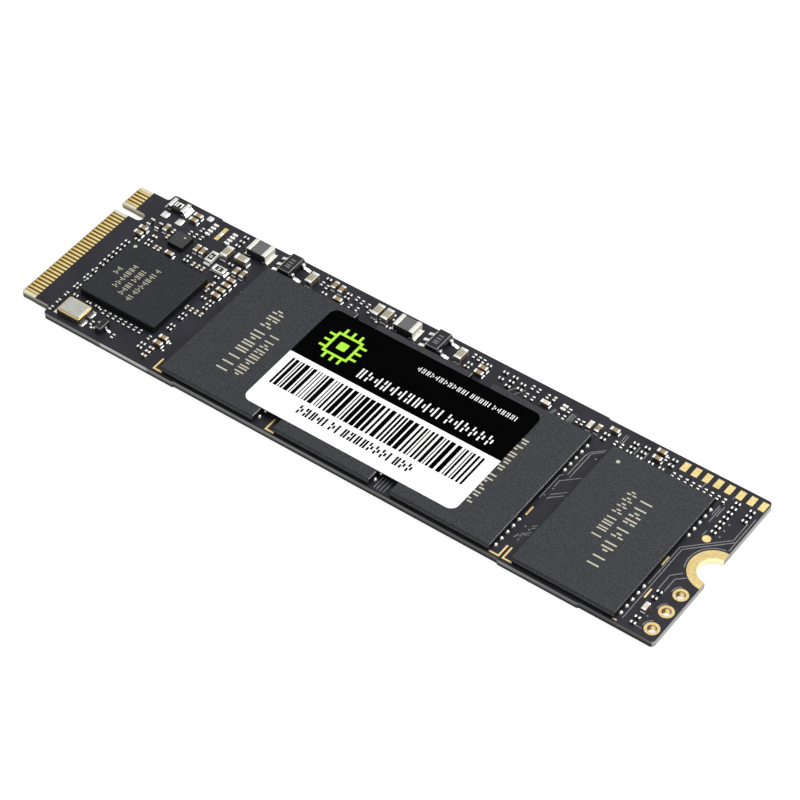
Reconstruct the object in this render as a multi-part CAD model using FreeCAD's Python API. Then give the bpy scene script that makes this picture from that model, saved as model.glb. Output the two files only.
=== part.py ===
import FreeCAD, Part
import math
import os

os.makedirs("parts", exist_ok=True)
V = FreeCAD.Vector
UP = V(0, 0, 1)

# Solid state drive on an M.2 card, in millimetres.
# Distances along the card run from the tip of the tongue, distances across it from its middle.
# The near edge is the -Y one, the far edge the +Y one beside the key notch.

# Card and keyed tongue
CARD_THICKNESS = 0.8
TONGUE_LENGTH = 4.0
TONGUE_WIDTH = 19.85
TIP_RADIUS = 0.4
TIP_BEVEL = 0.2
TIP_BEVEL_DEPTH = 0.14
SHOULDER_FILLET = 0.4
SHOULDER_CORNER = 0.35
REAR_CORNER = 0.45
KEY_CENTRE = 6.125
KEY_WIDTH = 1.2
KEY_DEPTH = 3.5

# Routed long edges, proud where the panel tabs were
EDGE_STEP = 0.14
STEP_RAMP = 0.25
FAR_TAB_FRONT = 6.5
FAR_TAB_START = 1.75
FAR_TAB_END = 19.5
NEAR_TAB_FRONT = 3.0
NEAR_TAB_START = 17.9
NEAR_TAB_END = 8.7

# Copper and gold plating
FOIL = 0.04
CONTACT_LINE = 1.9
CONTACT_WIDTH = 0.35
CONTACT_PITCH = 0.5
CONTACT_SIDE = 0.5
KEY_CLEARANCE = 0.4
SEAT_RADIUS = 1.75
SEAT_LAND = 2.72
HEADER_HOLE = 0.5
HEADER_LAND = 0.8
HEADER_PITCH = 2.54
HEADER_COUNT = 3
HEADER_INSET = 1.05
HEADER_SIDE = 1.55
PAD_WIDTH = 0.72
PAD_LENGTH = 1.22
PAD_PITCH = 1.3
PAD_COUNT = 8
PAD_INSET = 0.5
PAD_SIDE = 1.15
POINT_RADIUS = 0.45
GROUND_BAR_WIDTH = 0.5
GROUND_BAR_LENGTH = 2.05
MARK_WIDTH = 0.2
MARK_LENGTH = 1.7
MARK_FOOT = 1.2
MARK_BAR = 1.3

# Rows and zones of the layout
CONTROLLER_MARGIN = 1.5
SIDE_COLUMN = 2.75
REAR_ZONE = 3.35
FRONT_MARGIN = 0.45
CRYSTAL_ROW = 3.85
POWER_ROW = 5.2
SUPPLY_STRIP = 3.5

# Controller and memory packages
CONTROLLER_LENGTH = 10.0
CONTROLLER_WIDTH = 9.0
CONTROLLER_HEIGHT = 0.95
MEMORY_WIDTH = 12.0
MEMORY_LENGTH = 18.0
MEMORY_HEIGHT = 0.85
MEMORY_GAP = 2.6
MEMORY_COUNT = 4

# Label across the memory packages
LABEL_LENGTH = 26.4
LABEL_WIDTH = 15.65
LABEL_THICKNESS = 0.08
LABEL_CORNER = 0.95
LABEL_START = 10.8
LABEL_MARGIN = 0.87

# Power management chip
POWER_CHIP_SIZE = 2.0
POWER_CHIP_HEIGHT = 0.6

# Clock oscillator
CRYSTAL_LENGTH = 3.2
CRYSTAL_WIDTH = 2.5
CRYSTAL_SIDE = 0.65
CRYSTAL_BASE_HEIGHT = 0.38
CRYSTAL_CASTELLATION = 0.18
CRYSTAL_RING_INSET = 0.1
CRYSTAL_RING_WALL = 0.32
CRYSTAL_RING_HEIGHT = 0.25
CRYSTAL_LID_INSET = 0.17
CRYSTAL_LID_HEIGHT = 0.1
CRYSTAL_CORNER = 0.25
CRYSTAL_TERMINAL_LENGTH = 1.15
CRYSTAL_TERMINAL_WIDTH = 1.05
CRYSTAL_TERMINAL_REACH = 0.3

# Voltage regulators with gull-wing leads
REGULATOR_LENGTH = 2.9
REGULATOR_WIDTH = 1.6
REGULATOR_HEIGHT = 1.05
REGULATOR_STANDOFF = 0.08
REGULATOR_DRAFT = 0.1
LEAD_PITCH = 0.95
LEAD_WIDTH = 0.4
LEAD_THICKNESS = 0.15
LEAD_SPAN = 2.8
LEAD_SHELF = 0.18
LEAD_FOOT = 0.3

# Small transistor, two leads on one side and one on the other
TRANSISTOR_LENGTH = 1.6
TRANSISTOR_WIDTH = 0.8
TRANSISTOR_HEIGHT = 0.75
TRANSISTOR_STANDOFF = 0.05
TRANSISTOR_DRAFT = 0.06
TRANSISTOR_PIN_PITCH = 0.5
TRANSISTOR_PIN_WIDTH = 0.25
TRANSISTOR_PIN_THICKNESS = 0.12
TRANSISTOR_PIN_SPAN = 1.6
TRANSISTOR_PIN_SHELF = 0.1
TRANSISTOR_PIN_FOOT = 0.2

# Parts with folded end clips: inductors, fuse, chip resistors
CLIP_FOIL = 0.05
INDUCTOR_LENGTH = 2.5
INDUCTOR_WIDTH = 1.8
INDUCTOR_HEIGHT = 1.0
INDUCTOR_CLIP = 0.5
FUSE_LENGTH = 2.2
FUSE_WIDTH = 1.4
FUSE_HEIGHT = 0.6
FUSE_CLIP = 0.45
FUSE_CLEARANCE = 0.96
RESISTOR_LENGTH = 1.6
RESISTOR_WIDTH = 0.85
RESISTOR_HEIGHT = 0.45
RESISTOR_CLIP = 0.3
COAT_INSET = 0.14

# Chip parts with end terminals: bulk, bypass, bias and small ones
REVEAL = 0.015
BULK_LENGTH = 1.6
BULK_WIDTH = 0.85
BULK_HEIGHT = 0.8
BULK_BAND = 0.28
BYPASS_LENGTH = 1.05
BYPASS_WIDTH = 0.52
BYPASS_HEIGHT = 0.5
BYPASS_BAND = 0.23
BIAS_LENGTH = 1.0
BIAS_WIDTH = 0.5
BIAS_HEIGHT = 0.35
BIAS_BAND = 0.22
SMALL_LENGTH = 0.62
SMALL_WIDTH = 0.31
SMALL_HEIGHT = 0.28
SMALL_BAND = 0.19

# Card outline worked out from what it carries
memory_pitch = MEMORY_WIDTH + MEMORY_GAP
controller_left = TONGUE_LENGTH + CONTROLLER_MARGIN
controller_right = controller_left + CONTROLLER_LENGTH
memory_start = controller_right + SIDE_COLUMN
card_length = memory_start + MEMORY_COUNT * memory_pitch + REAR_ZONE
row_width = max(MEMORY_LENGTH, CRYSTAL_ROW + CONTROLLER_WIDTH + POWER_ROW)
card_width = FRONT_MARGIN + row_width + SUPPLY_STRIP
far_edge = card_width / 2
near_edge = -card_width / 2
strip_line = far_edge - SUPPLY_STRIP
controller_front = near_edge + FRONT_MARGIN + CRYSTAL_ROW
controller_middle = controller_front + CONTROLLER_WIDTH / 2
memory_front = near_edge + FRONT_MARGIN
memory_middle = memory_front + MEMORY_LENGTH / 2
tongue_side = TONGUE_WIDTH / 2
top = CARD_THICKNESS


def cell_start(index):
    """Where the stretch of card under one memory package begins."""
    return memory_start + index * memory_pitch


def block(x, y, z, along, across, height):
    """Box centred on x, y, standing on z."""
    return Part.makeBox(along, across, height, V(x - along / 2, y - across / 2, z))


def rounded_outline(corners):
    """Closed wire through corners given as (x, y, radius)."""
    count = len(corners)
    arrive = []
    leave = []
    middle = []
    for i in range(count):
        x, y, radius = corners[i]
        here = V(x, y, 0)
        before = V(corners[i - 1][0], corners[i - 1][1], 0) - here
        after = V(corners[(i + 1) % count][0], corners[(i + 1) % count][1], 0) - here
        before.normalize()
        after.normalize()
        if radius > 0:
            half = before.getAngle(after) / 2
            inward = before + after
            inward.normalize()
            arrive.append(here + before * (radius / math.tan(half)))
            leave.append(here + after * (radius / math.tan(half)))
            middle.append(here + inward * (radius / math.sin(half) - radius))
        else:
            arrive.append(here)
            leave.append(here)
            middle.append(None)
    edges = []
    for i in range(count):
        if middle[i] is not None:
            edges.append(Part.Arc(arrive[i], middle[i], leave[i]).toShape())
        following = arrive[(i + 1) % count]
        if leave[i].distanceToPoint(following) > 1e-6:
            edges.append(Part.makeLine(leave[i], following))
    return Part.Wire(edges)


def plate(corners, z, height):
    """Plate with a rounded outline, standing on z."""
    face = Part.Face(rounded_outline(corners))
    face.translate(V(0, 0, z))
    return face.extrude(V(0, 0, height))


def rounded_block(x, y, z, along, across, height, radius):
    """Box with rounded upright edges, centred on x, y."""
    a = along / 2
    b = across / 2
    corners = [(x - a, y - b, radius), (x + a, y - b, radius), (x + a, y + b, radius), (x - a, y + b, radius)]
    return plate(corners, z, height)


def save(name, solids):
    """Write one named group of solids, moved so that the card's middle is the origin."""
    group = Part.makeCompound(solids)
    group.translate(V(-card_length / 2, 0, 0))
    group.exportStep("parts/" + name + ".step")


# Gold pads let into the top face
def inlay(along, across, x, y):
    return block(x, y, top - FOIL, along, across, FOIL)


def corner_mark(x, way):
    """L-shaped mark at the near corner of a package outline, its foot pointing way."""
    y = memory_front - MARK_WIDTH / 2 + FOIL
    corners = [
        (x, y, 0),
        (x + way * MARK_FOOT, y, 0),
        (x + way * MARK_FOOT, y + MARK_WIDTH, 0),
        (x + way * MARK_WIDTH, y + MARK_WIDTH, 0),
        (x + way * MARK_WIDTH, y + MARK_LENGTH, 0),
        (x, y + MARK_LENGTH, 0),
    ]
    return plate(corners, top - FOIL, FOIL)


test_pads = []
for i in range(PAD_COUNT):
    pad_x = card_length - PAD_INSET - i * PAD_PITCH
    test_pads.append(inlay(PAD_WIDTH, PAD_LENGTH, pad_x, far_edge - PAD_SIDE))
test_point = Part.makeCylinder(POINT_RADIUS, FOIL, V(card_length - 2.85, strip_line - 4.4, top - FOIL))
ground_bar = inlay(GROUND_BAR_WIDTH, GROUND_BAR_LENGTH, TONGUE_LENGTH + 7.87, far_edge - 1.88)
package_marks = []
for i in range(MEMORY_COUNT):
    if i == MEMORY_COUNT - 2:
        package_marks.append(corner_mark(cell_start(i + 1) - 0.08, -1))
    else:
        package_marks.append(corner_mark(cell_start(i) + 0.22, 1))
mark_bars = [
    inlay(MARK_WIDTH, MARK_BAR, cell_start(MEMORY_COUNT - 1) - 1.0, memory_middle - 2.45),
    inlay(MARK_WIDTH, MARK_BAR, card_length - 4.6, memory_middle - 0.05),
    inlay(MARK_WIDTH, MARK_BAR, card_length - 3.75, near_edge + 5.0),
]
flat_gold = test_pads + [test_point, ground_bar] + package_marks + mark_bars


# Plated holes: the wall belongs to the card, with a gold land let into each face around it
def lands(x, y, hole, land, start, sweep):
    rings = []
    for z in (0, top - FOIL):
        section = [V(hole, 0, z), V(land, 0, z), V(land, 0, z + FOIL), V(hole, 0, z + FOIL)]
        face = Part.Face(Part.makePolygon(section + [section[0]]))
        face.rotate(V(0, 0, 0), UP, start)
        ring = face.revolve(V(0, 0, 0), UP, sweep)
        ring.translate(V(x, y, 0))
        rings.append(ring)
    return rings


def land_room(x, y, hole, land):
    """What the card gives up for one hole and its two lands."""
    bore = Part.makeCylinder(hole, top, V(x, y, 0))
    lower = Part.makeCylinder(land, FOIL, V(x, y, 0))
    upper = Part.makeCylinder(land, FOIL, V(x, y, top - FOIL))
    return [bore, lower, upper]


header_places = []
for i in range(HEADER_COUNT):
    header_places.append((card_length - HEADER_INSET, near_edge + HEADER_SIDE + i * HEADER_PITCH))
seat_ring = lands(card_length, 0, SEAT_RADIUS, SEAT_LAND, 90, 180)
header_eyelets = []
for x, y in header_places:
    header_eyelets += lands(x, y, HEADER_HOLE, HEADER_LAND, 0, 360)


# Contacts of the edge connector on the bare end of the tongue
def contacts(first, z):
    strips = []
    length = CONTACT_LINE - TIP_BEVEL
    y = first
    while y < tongue_side - CONTACT_SIDE:
        if abs(y - KEY_CENTRE) > KEY_WIDTH / 2 + KEY_CLEARANCE:
            strips.append(block(TIP_BEVEL + length / 2, y, z, length, CONTACT_WIDTH, FOIL))
        y += CONTACT_PITCH
    return strips


middle_contact = KEY_CENTRE - 0.125 - 12 * CONTACT_PITCH
contacts_top = contacts(middle_contact - 18.5 * CONTACT_PITCH, top - FOIL)
contacts_bottom = contacts(middle_contact - 18 * CONTACT_PITCH, 0)

# Circuit board
shoulder_step = far_edge - tongue_side
fillet = min(SHOULDER_FILLET, shoulder_step * 0.45)
shoulder = min(SHOULDER_CORNER, shoulder_step * 0.45)
far_in = far_edge - EDGE_STEP
near_in = near_edge + EDGE_STEP
near_tab_front = memory_start + NEAR_TAB_FRONT
near_tab_start = card_length - NEAR_TAB_START
near_tab_end = card_length - NEAR_TAB_END
far_tab_front = TONGUE_LENGTH + FAR_TAB_FRONT
far_tab_start = memory_start + FAR_TAB_START
far_tab_end = card_length - FAR_TAB_END
outline = [
    (0, -tongue_side, TIP_RADIUS),
    (TONGUE_LENGTH, -tongue_side, fillet),
    (TONGUE_LENGTH, near_edge, shoulder),
    (near_tab_front, near_edge, 0),
    (near_tab_front + STEP_RAMP, near_in, 0),
    (near_tab_start - STEP_RAMP, near_in, 0),
    (near_tab_start, near_edge, 0),
    (near_tab_end, near_edge, 0),
    (near_tab_end + STEP_RAMP, near_in, 0),
    (card_length, near_in, REAR_CORNER),
    (card_length, far_in, REAR_CORNER),
    (far_tab_end + STEP_RAMP, far_in, 0),
    (far_tab_end, far_edge, 0),
    (far_tab_start, far_edge, 0),
    (far_tab_start - STEP_RAMP, far_in, 0),
    (far_tab_front + STEP_RAMP, far_in, 0),
    (far_tab_front, far_edge, 0),
    (TONGUE_LENGTH, far_edge, shoulder),
    (TONGUE_LENGTH, tongue_side, fillet),
    (0, tongue_side, TIP_RADIUS),
    (0, KEY_CENTRE + KEY_WIDTH / 2, 0),
    (KEY_DEPTH, KEY_CENTRE + KEY_WIDTH / 2, KEY_WIDTH / 2),
    (KEY_DEPTH, KEY_CENTRE - KEY_WIDTH / 2, KEY_WIDTH / 2),
    (0, KEY_CENTRE - KEY_WIDTH / 2, 0),
]
bevels = []
for face_z, into in ((top - FOIL, -1), (FOIL, 1)):
    wedge = [
        V(0, -tongue_side, face_z),
        V(TIP_BEVEL, -tongue_side, face_z),
        V(0, -tongue_side, face_z + into * TIP_BEVEL_DEPTH),
    ]
    bevels.append(Part.Face(Part.makePolygon(wedge + [wedge[0]])).extrude(V(0, TONGUE_WIDTH, 0)))
bare_tongue = [
    block(CONTACT_LINE / 2, 0, top - FOIL, CONTACT_LINE, TONGUE_WIDTH, FOIL),
    block(CONTACT_LINE / 2, 0, 0, CONTACT_LINE, TONGUE_WIDTH, FOIL),
]
given_up = bare_tongue + flat_gold + land_room(card_length, 0, SEAT_RADIUS, SEAT_LAND)
for x, y in header_places:
    given_up += land_room(x, y, HEADER_HOLE, HEADER_LAND)
board = plate(outline, 0, CARD_THICKNESS)
board = board.cut(given_up).cut(bevels).removeSplitter()

save("circuit_board", board.Solids)
save("edge_contacts_top", contacts_top)
save("edge_contacts_bottom", contacts_bottom)
save("screw_seat_ring", seat_ring)
save("header_eyelets", header_eyelets)
save("test_pads", test_pads + [test_point, ground_bar])
save("package_marks", package_marks + mark_bars)


# Moulded packages
controller_x = (controller_left + controller_right) / 2
controller_sizes = (CONTROLLER_LENGTH, CONTROLLER_WIDTH, CONTROLLER_HEIGHT)
save("controller_chip", [block(controller_x, controller_middle, top, *controller_sizes)])
for i in range(MEMORY_COUNT):
    memory_x = cell_start(i) + memory_pitch / 2
    memory = block(memory_x, memory_middle, top, MEMORY_WIDTH, MEMORY_LENGTH, MEMORY_HEIGHT)
    save("memory_chip_%d" % (i + 1), [memory])
power_y = strip_line - 2.05
power_chip = block(TONGUE_LENGTH + 5.2, power_y, top, POWER_CHIP_SIZE, POWER_CHIP_SIZE, POWER_CHIP_HEIGHT)
save("power_chip", [power_chip])

# Label lying on the memory packages
label = rounded_block(
    memory_start + LABEL_START + LABEL_LENGTH / 2,
    memory_front + MEMORY_LENGTH - LABEL_MARGIN - LABEL_WIDTH / 2,
    top + MEMORY_HEIGHT,
    LABEL_LENGTH,
    LABEL_WIDTH,
    LABEL_THICKNESS,
    LABEL_CORNER,
)
save("label", [label])

# Clock oscillator: terminals, ceramic base, seal ring and lid
crystal_x = controller_left + 1.28
crystal_y = near_edge + CRYSTAL_SIDE + CRYSTAL_WIDTH / 2
crystal_z = top + FOIL
crystal_terminals = []
for side_x in (-1, 1):
    for side_y in (-1, 1):
        x = crystal_x + side_x * (CRYSTAL_LENGTH / 2 + CRYSTAL_TERMINAL_REACH - CRYSTAL_TERMINAL_LENGTH / 2)
        y = crystal_y + side_y * (CRYSTAL_WIDTH - CRYSTAL_TERMINAL_WIDTH) / 2
        crystal_terminals.append(block(x, y, top, CRYSTAL_TERMINAL_LENGTH, CRYSTAL_TERMINAL_WIDTH, FOIL))
castellations = []
for side_x in (-1, 1):
    for side_y in (-1, 1):
        corner = V(crystal_x + side_x * CRYSTAL_LENGTH / 2, crystal_y + side_y * CRYSTAL_WIDTH / 2, crystal_z)
        castellations.append(Part.makeCylinder(CRYSTAL_CASTELLATION, CRYSTAL_BASE_HEIGHT, corner))
crystal_base = block(crystal_x, crystal_y, crystal_z, CRYSTAL_LENGTH, CRYSTAL_WIDTH, CRYSTAL_BASE_HEIGHT)
crystal_base = crystal_base.cut(castellations)
ring_z = crystal_z + CRYSTAL_BASE_HEIGHT
ring_length = CRYSTAL_LENGTH - 2 * CRYSTAL_RING_INSET
ring_width = CRYSTAL_WIDTH - 2 * CRYSTAL_RING_INSET
window_length = ring_length - 2 * CRYSTAL_RING_WALL
window_width = ring_width - 2 * CRYSTAL_RING_WALL
crystal_ring = rounded_block(
    crystal_x, crystal_y, ring_z, ring_length, ring_width, CRYSTAL_RING_HEIGHT, CRYSTAL_CORNER
)
crystal_ring = crystal_ring.cut(
    block(crystal_x, crystal_y, ring_z, window_length, window_width, CRYSTAL_RING_HEIGHT)
)
crystal_lid = rounded_block(
    crystal_x,
    crystal_y,
    ring_z + CRYSTAL_RING_HEIGHT,
    ring_length - 2 * CRYSTAL_LID_INSET,
    ring_width - 2 * CRYSTAL_LID_INSET,
    CRYSTAL_LID_HEIGHT,
    CRYSTAL_CORNER,
)
save("crystal_terminals", crystal_terminals)
save("crystal_base", crystal_base.Solids)
save("crystal_seal_ring", crystal_ring.Solids)
save("crystal_lid", [crystal_lid])


# Moulded packages with gull-wing leads
class LeadedPackage:
    """A body drafted both ways from the level where its leads leave the long sides."""

    def __init__(self, length, width, height, standoff, draft):
        self.length = length
        self.width = width
        self.height = height
        self.standoff = standoff
        self.draft = draft
        self.middle = (standoff + height) / 2

    def set_leads(self, width, thickness, span, shelf, foot):
        self.lead_width = width
        self.thickness = thickness
        self.span = span
        self.shelf = shelf
        self.foot = foot

    def body(self, x, y):
        levels = [
            (self.standoff, self.draft / 2),
            (self.middle - self.thickness / 2, 0),
            (self.middle + self.thickness / 2, 0),
            (self.height, self.draft),
        ]
        sections = []
        for z, inset in levels:
            a = self.width / 2 - inset
            b = self.length / 2 - inset
            ends = [(x - a, y - b), (x + a, y - b), (x + a, y + b), (x - a, y + b), (x - a, y - b)]
            sections.append(Part.makePolygon([V(u, v, top + z) for u, v in ends]))
        return Part.makeLoft(sections, True, True)

    def lead(self, x, y, way):
        """One lead leaving the body's side towards way, stepping down to its foot on the card."""
        reach = (self.span - self.width) / 2
        knee = reach - self.foot
        upper = self.middle + self.thickness / 2
        lower = self.middle - self.thickness / 2
        lean = (knee - self.shelf) / lower
        back = lean * self.thickness - self.thickness * math.sqrt(1 + lean * lean)
        path = [
            (0, upper),
            (self.shelf, upper),
            (knee, self.thickness),
            (reach, self.thickness),
            (reach, 0),
            (knee + back, 0),
            (self.shelf + back, lower),
            (0, lower),
        ]
        side = x + way * self.width / 2
        corners = [V(side + way * u, y - self.lead_width / 2, top + w) for u, w in path]
        return Part.Face(Part.makePolygon(corners + [corners[0]])).extrude(V(0, self.lead_width, 0))


regulator = LeadedPackage(
    REGULATOR_LENGTH, REGULATOR_WIDTH, REGULATOR_HEIGHT, REGULATOR_STANDOFF, REGULATOR_DRAFT
)
regulator.set_leads(LEAD_WIDTH, LEAD_THICKNESS, LEAD_SPAN, LEAD_SHELF, LEAD_FOOT)
transistor = LeadedPackage(
    TRANSISTOR_LENGTH, TRANSISTOR_WIDTH, TRANSISTOR_HEIGHT, TRANSISTOR_STANDOFF, TRANSISTOR_DRAFT
)
transistor.set_leads(
    TRANSISTOR_PIN_WIDTH,
    TRANSISTOR_PIN_THICKNESS,
    TRANSISTOR_PIN_SPAN,
    TRANSISTOR_PIN_SHELF,
    TRANSISTOR_PIN_FOOT,
)
transistor_x = controller_left + 5.15
transistor_y = near_edge + 1.78
transistor_leads = [
    transistor.lead(transistor_x, transistor_y - TRANSISTOR_PIN_PITCH, -1),
    transistor.lead(transistor_x, transistor_y + TRANSISTOR_PIN_PITCH, -1),
    transistor.lead(transistor_x, transistor_y, 1),
]
save("transistor_body", [transistor.body(transistor_x, transistor_y)])
save("transistor_leads", transistor_leads)


# Parts with end clips folded over and under a body
def clipped(x, y, turned, along, across, height, clip):
    inner = block(0, 0, CLIP_FOIL, along - 2 * CLIP_FOIL, across, height - 2 * CLIP_FOIL)
    clips = []
    for way in (-1, 1):
        clips.append(block(way * (along - clip) / 2, 0, 0, clip, across, height).cut(inner))
    for shape in [inner] + clips:
        shape.rotate(V(0, 0, 0), UP, 90 if turned else 0)
        shape.translate(V(x, y, top))
    return inner, clips


# A supply stage is a regulator, three leads on one side and two on the other, with its inductor
stage_y = far_edge - 1.85
stages = [(memory_start + 3.08, memory_start - 1.0), (cell_start(1) + 7.75, cell_start(1) + 3.75)]
for i in range(len(stages)):
    regulator_x, inductor_x = stages[i]
    leads = [regulator.lead(regulator_x, stage_y + k * LEAD_PITCH, -1) for k in (-1, 0, 1)]
    leads += [regulator.lead(regulator_x, stage_y + k * LEAD_PITCH, 1) for k in (-1, 1)]
    save("regulator_%d_body" % (i + 1), [regulator.body(regulator_x, stage_y)])
    save("regulator_%d_leads" % (i + 1), leads)
    core, clips = clipped(
        inductor_x, stage_y, False, INDUCTOR_LENGTH, INDUCTOR_WIDTH, INDUCTOR_HEIGHT, INDUCTOR_CLIP
    )
    save("inductor_%d_body" % (i + 1), [core])
    save("inductor_%d_clips" % (i + 1), clips)

fuse_left = TONGUE_LENGTH + 0.64
fuse_x = fuse_left + FUSE_LENGTH / 2
fuse, fuse_clips = clipped(fuse_x, far_edge - 1.4, False, FUSE_LENGTH, FUSE_WIDTH, FUSE_HEIGHT, FUSE_CLIP)
save("fuse_body", [fuse])
save("fuse_clips", fuse_clips)

resistor_bodies = []
resistor_clips = []
resistor_coats = []
for x, y, turned in (
    (TONGUE_LENGTH + 9.45, strip_line - 2.0, True),
    (TONGUE_LENGTH + 11.3, strip_line - 3.0, False),
):
    core, clips = clipped(x, y, turned, RESISTOR_LENGTH, RESISTOR_WIDTH, RESISTOR_HEIGHT, RESISTOR_CLIP)
    along = RESISTOR_LENGTH - 2 * RESISTOR_CLIP - COAT_INSET
    across = RESISTOR_WIDTH - 2 * COAT_INSET
    if turned:
        along, across = across, along
    resistor_bodies.append(core)
    resistor_clips += clips
    resistor_coats.append(block(x, y, top + RESISTOR_HEIGHT - CLIP_FOIL, along, across, CLIP_FOIL))
save("chip_resistor_bodies", resistor_bodies)
save("chip_resistor_clips", resistor_clips)
save("chip_resistor_coats", resistor_coats)


# Chip parts: a ceramic body between two end terminals
def chip_parts(places, along, across, height, band):
    """Bodies and terminals of chip parts given as (x, y, turned), turned ones lying along Y."""
    bodies = []
    terminals = []
    for x, y, turned in places:
        body = block(0, 0, REVEAL, along - 2 * band, across - 2 * REVEAL, height - 2 * REVEAL)
        ends = [block(way * (along - band) / 2, 0, 0, band, across, height) for way in (-1, 1)]
        for shape in [body] + ends:
            shape.rotate(V(0, 0, 0), UP, 90 if turned else 0)
            shape.translate(V(x, y, top))
        bodies.append(body)
        terminals += ends
    return bodies, terminals


def around(origin, flat, turned):
    """Places measured from an origin: flat parts lie along the card, turned ones across it."""
    x, y = origin
    return [(x + a, y + b, False) for a, b in flat] + [(x + a, y + b, True) for a, b in turned]


def beside(index, flat, turned):
    """Places in the supply strip beside one memory package."""
    if index < MEMORY_COUNT:
        return around((cell_start(index), far_edge), flat, turned)
    return []


def run(first, step, count):
    """Evenly spaced places."""
    return [(first[0] + step[0] * i, first[1] + step[1] * i) for i in range(count)]


# Origins that the chip parts are measured from
entry = (TONGUE_LENGTH, far_edge)
power = (TONGUE_LENGTH, strip_line)
left_side = (controller_left, controller_middle)
right_side = (controller_right, controller_middle)
right_far = (controller_right, strip_line)
right_near = (controller_right, near_edge)
front_side = (controller_left, controller_front)
front_corner = (TONGUE_LENGTH, near_edge)
front_edge = (controller_left, near_edge)
rear_far = (card_length, far_edge)
rear_near = (card_length, near_edge)

bulk = around(power, [(12.45, -0.55)], [(10.5, -0.65)])
bulk += beside(0, [], [(6.0, -2.05)])
bulk += beside(1, [], [(-0.1, -1.8), (1.1, -1.8), (10.62, -1.95)])

beside_fuse = fuse_left + FUSE_LENGTH + FUSE_CLEARANCE + BYPASS_LENGTH / 2
bypass = around((beside_fuse, far_edge), [(0, -1.37), (0, -2.17)], [])
bypass += around(power, [(0.72, -2.77), (0.72, -3.62), (5.43, -4.2)], [(2.73, -1.32)])
bypass += around(power, [], [(7.38, -1.87), (8.18, -1.87)])
bypass += around(right_far, run((1.88, -3.62), (0, -0.883), 4), [(1.43, -2.17), (2.33, -2.17)])
bypass += around(right_near, [(1.38, 4.2), (1.38, 3.28)], [])
bypass += beside(0, [(9.93, -2.77)], [(8.48, -1.27), (9.43, -1.37)])
bypass += beside(1, [(13.48, -2.02), (13.48, -2.82)], [])
bypass += beside(2, [(6.83, -2.32)], [(12.23, -2.22), (13.18, -2.17)])
bypass += beside(3, [(0.08, -1.37), (5.53, -1.07), (5.58, -2.07)], [])
bypass += around(rear_near, [], [(-2.87, 3.23)])

bias = around(power, [], [(0.65, -1.5), (1.78, -1.51)])

small_capacitors = around(power, [(2.44, -3.0)], run((8.44, -3.9), (0.65, 0), 3))
small_capacitors += around(power, [], [(3.49, -4.24), (4.04, -4.24), (3.55, -1.2), (3.55, -2.2)])
small_capacitors += around(right_far, [], [(0.55, -5.0), (0.55, -6.1)])
small_capacitors += around(right_side, [], run((0.4, 0.38), (0.65, 0), 4))
small_capacitors += beside(2, [], [(7.25, -1.25)])

series = around(left_side, run((-0.96, 4.4), (0, -0.71), 7) + [(-0.96, -1.11), (-0.96, -1.93)], [])
series += around(left_side, [(-0.96, -2.46), (-0.96, -3.61), (-0.96, -4.13)], [])
series += around(front_corner, [], [(0.37, 3.36), (0.37, 2.06), (0.4, 0.85)])
series += around(front_edge, [], [(3.86, 1.59), (6.83, 1.39)])
series += around(front_side, [(-0.16, -0.54), (1.64, -0.56), (2.76, -0.5)], [])
series += around(front_side, [], run((3.84, -0.74), (0.7, 0), 8))
series += around(entry, run((6.74, -1.31), (0, -0.52), 4) + run((9.34, -1.31), (0, -0.5), 4), [])
series += around(entry, run((10.59, -0.94), (0, -0.75), 3), [(5.95, -2.75)])
series += around(power, [(7.39, -3.3), (7.44, -3.9), (2.44, -3.8), (2.5, -4.4), (1.2, -4.44)], [])
series += around(power, [(11.75, -1.6)], [(5.2, -0.35), (5.9, -0.35), (6.65, -0.3)])
series += around(right_far, [(0.25, -4.0), (1.0, -7.2)] + run((2.09, -7.19), (0, -0.575), 3), [])
series += around(right_side, [(0.92, -0.6), (0.92, -1.24), (0.92, -2.54), (0.92, -3.14)], [])
series += around(right_near, run((0.09, 2.41), (0, -0.6), 2), [(0.08, 3.44)])
series += around(right_near, run((1.22, 2.41), (0, -0.62), 3), [])
series += beside(0, [(7.35, -0.8), (8.2, -2.8), (10.45, -1.35), (10.5, -1.95)], [(7.15, -1.75)])
series += beside(0, [], [(11.5, -1.4), (11.5, -2.75), (12.25, -1.55), (12.4, -2.7), (13.05, -1.6)])
series += beside(0, [], [(7.87, -1.89), (13.61, -2.21)])
series += beside(1, [(2.05, -2.9), (11.95, -2.2), (11.9, -2.75), (13.7, -1.25)], [])
series += beside(1, [], [(11.69, -1.04), (12.35, -1.1), (12.93, -1.13)])
series += beside(2, [(1.1, -1.1), (1.15, -2.05), (3.5, -1.45), (3.55, -2.2)], [(4.55, -1.22), (5.3, -1.27)])
series += beside(2, run((2.3, -1.1), (0, -0.72), 3) + run((8.7, -1.41), (0, -0.5), 2), [(6.5, -1.35)])
series += beside(2, [], [(4.6, -2.5), (5.4, -2.5), (9.4, -1.75), (9.4, -2.85), (10.8, -2.4), (11.4, -2.4)])
series += beside(3, [(-0.35, -2.2), (-0.35, -2.95), (5.35, -2.9), (6.6, -2.9)], [(1.0, -2.7), (1.75, -2.7)])
series += beside(3, run((2.75, -1.55), (0, -0.68), 3) + run((4.0, -1.4), (0, -0.77), 3), [(6.35, -1.5)])
series += beside(3, [(7.15, -1.2), (7.15, -2.0)], [])
series += around(rear_far, run((-2.68, -2.44), (0, -0.75), 7) + run((-0.96, -2.5), (0, -0.75), 3), [])
series += around(rear_far, [], run((-9.95, -2.89), (0.745, 0), 9))
series += around(rear_near, [(-2.86, 1.8), (-2.86, 1.0), (-2.85, 5.65), (-2.85, 4.75)], [])

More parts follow.
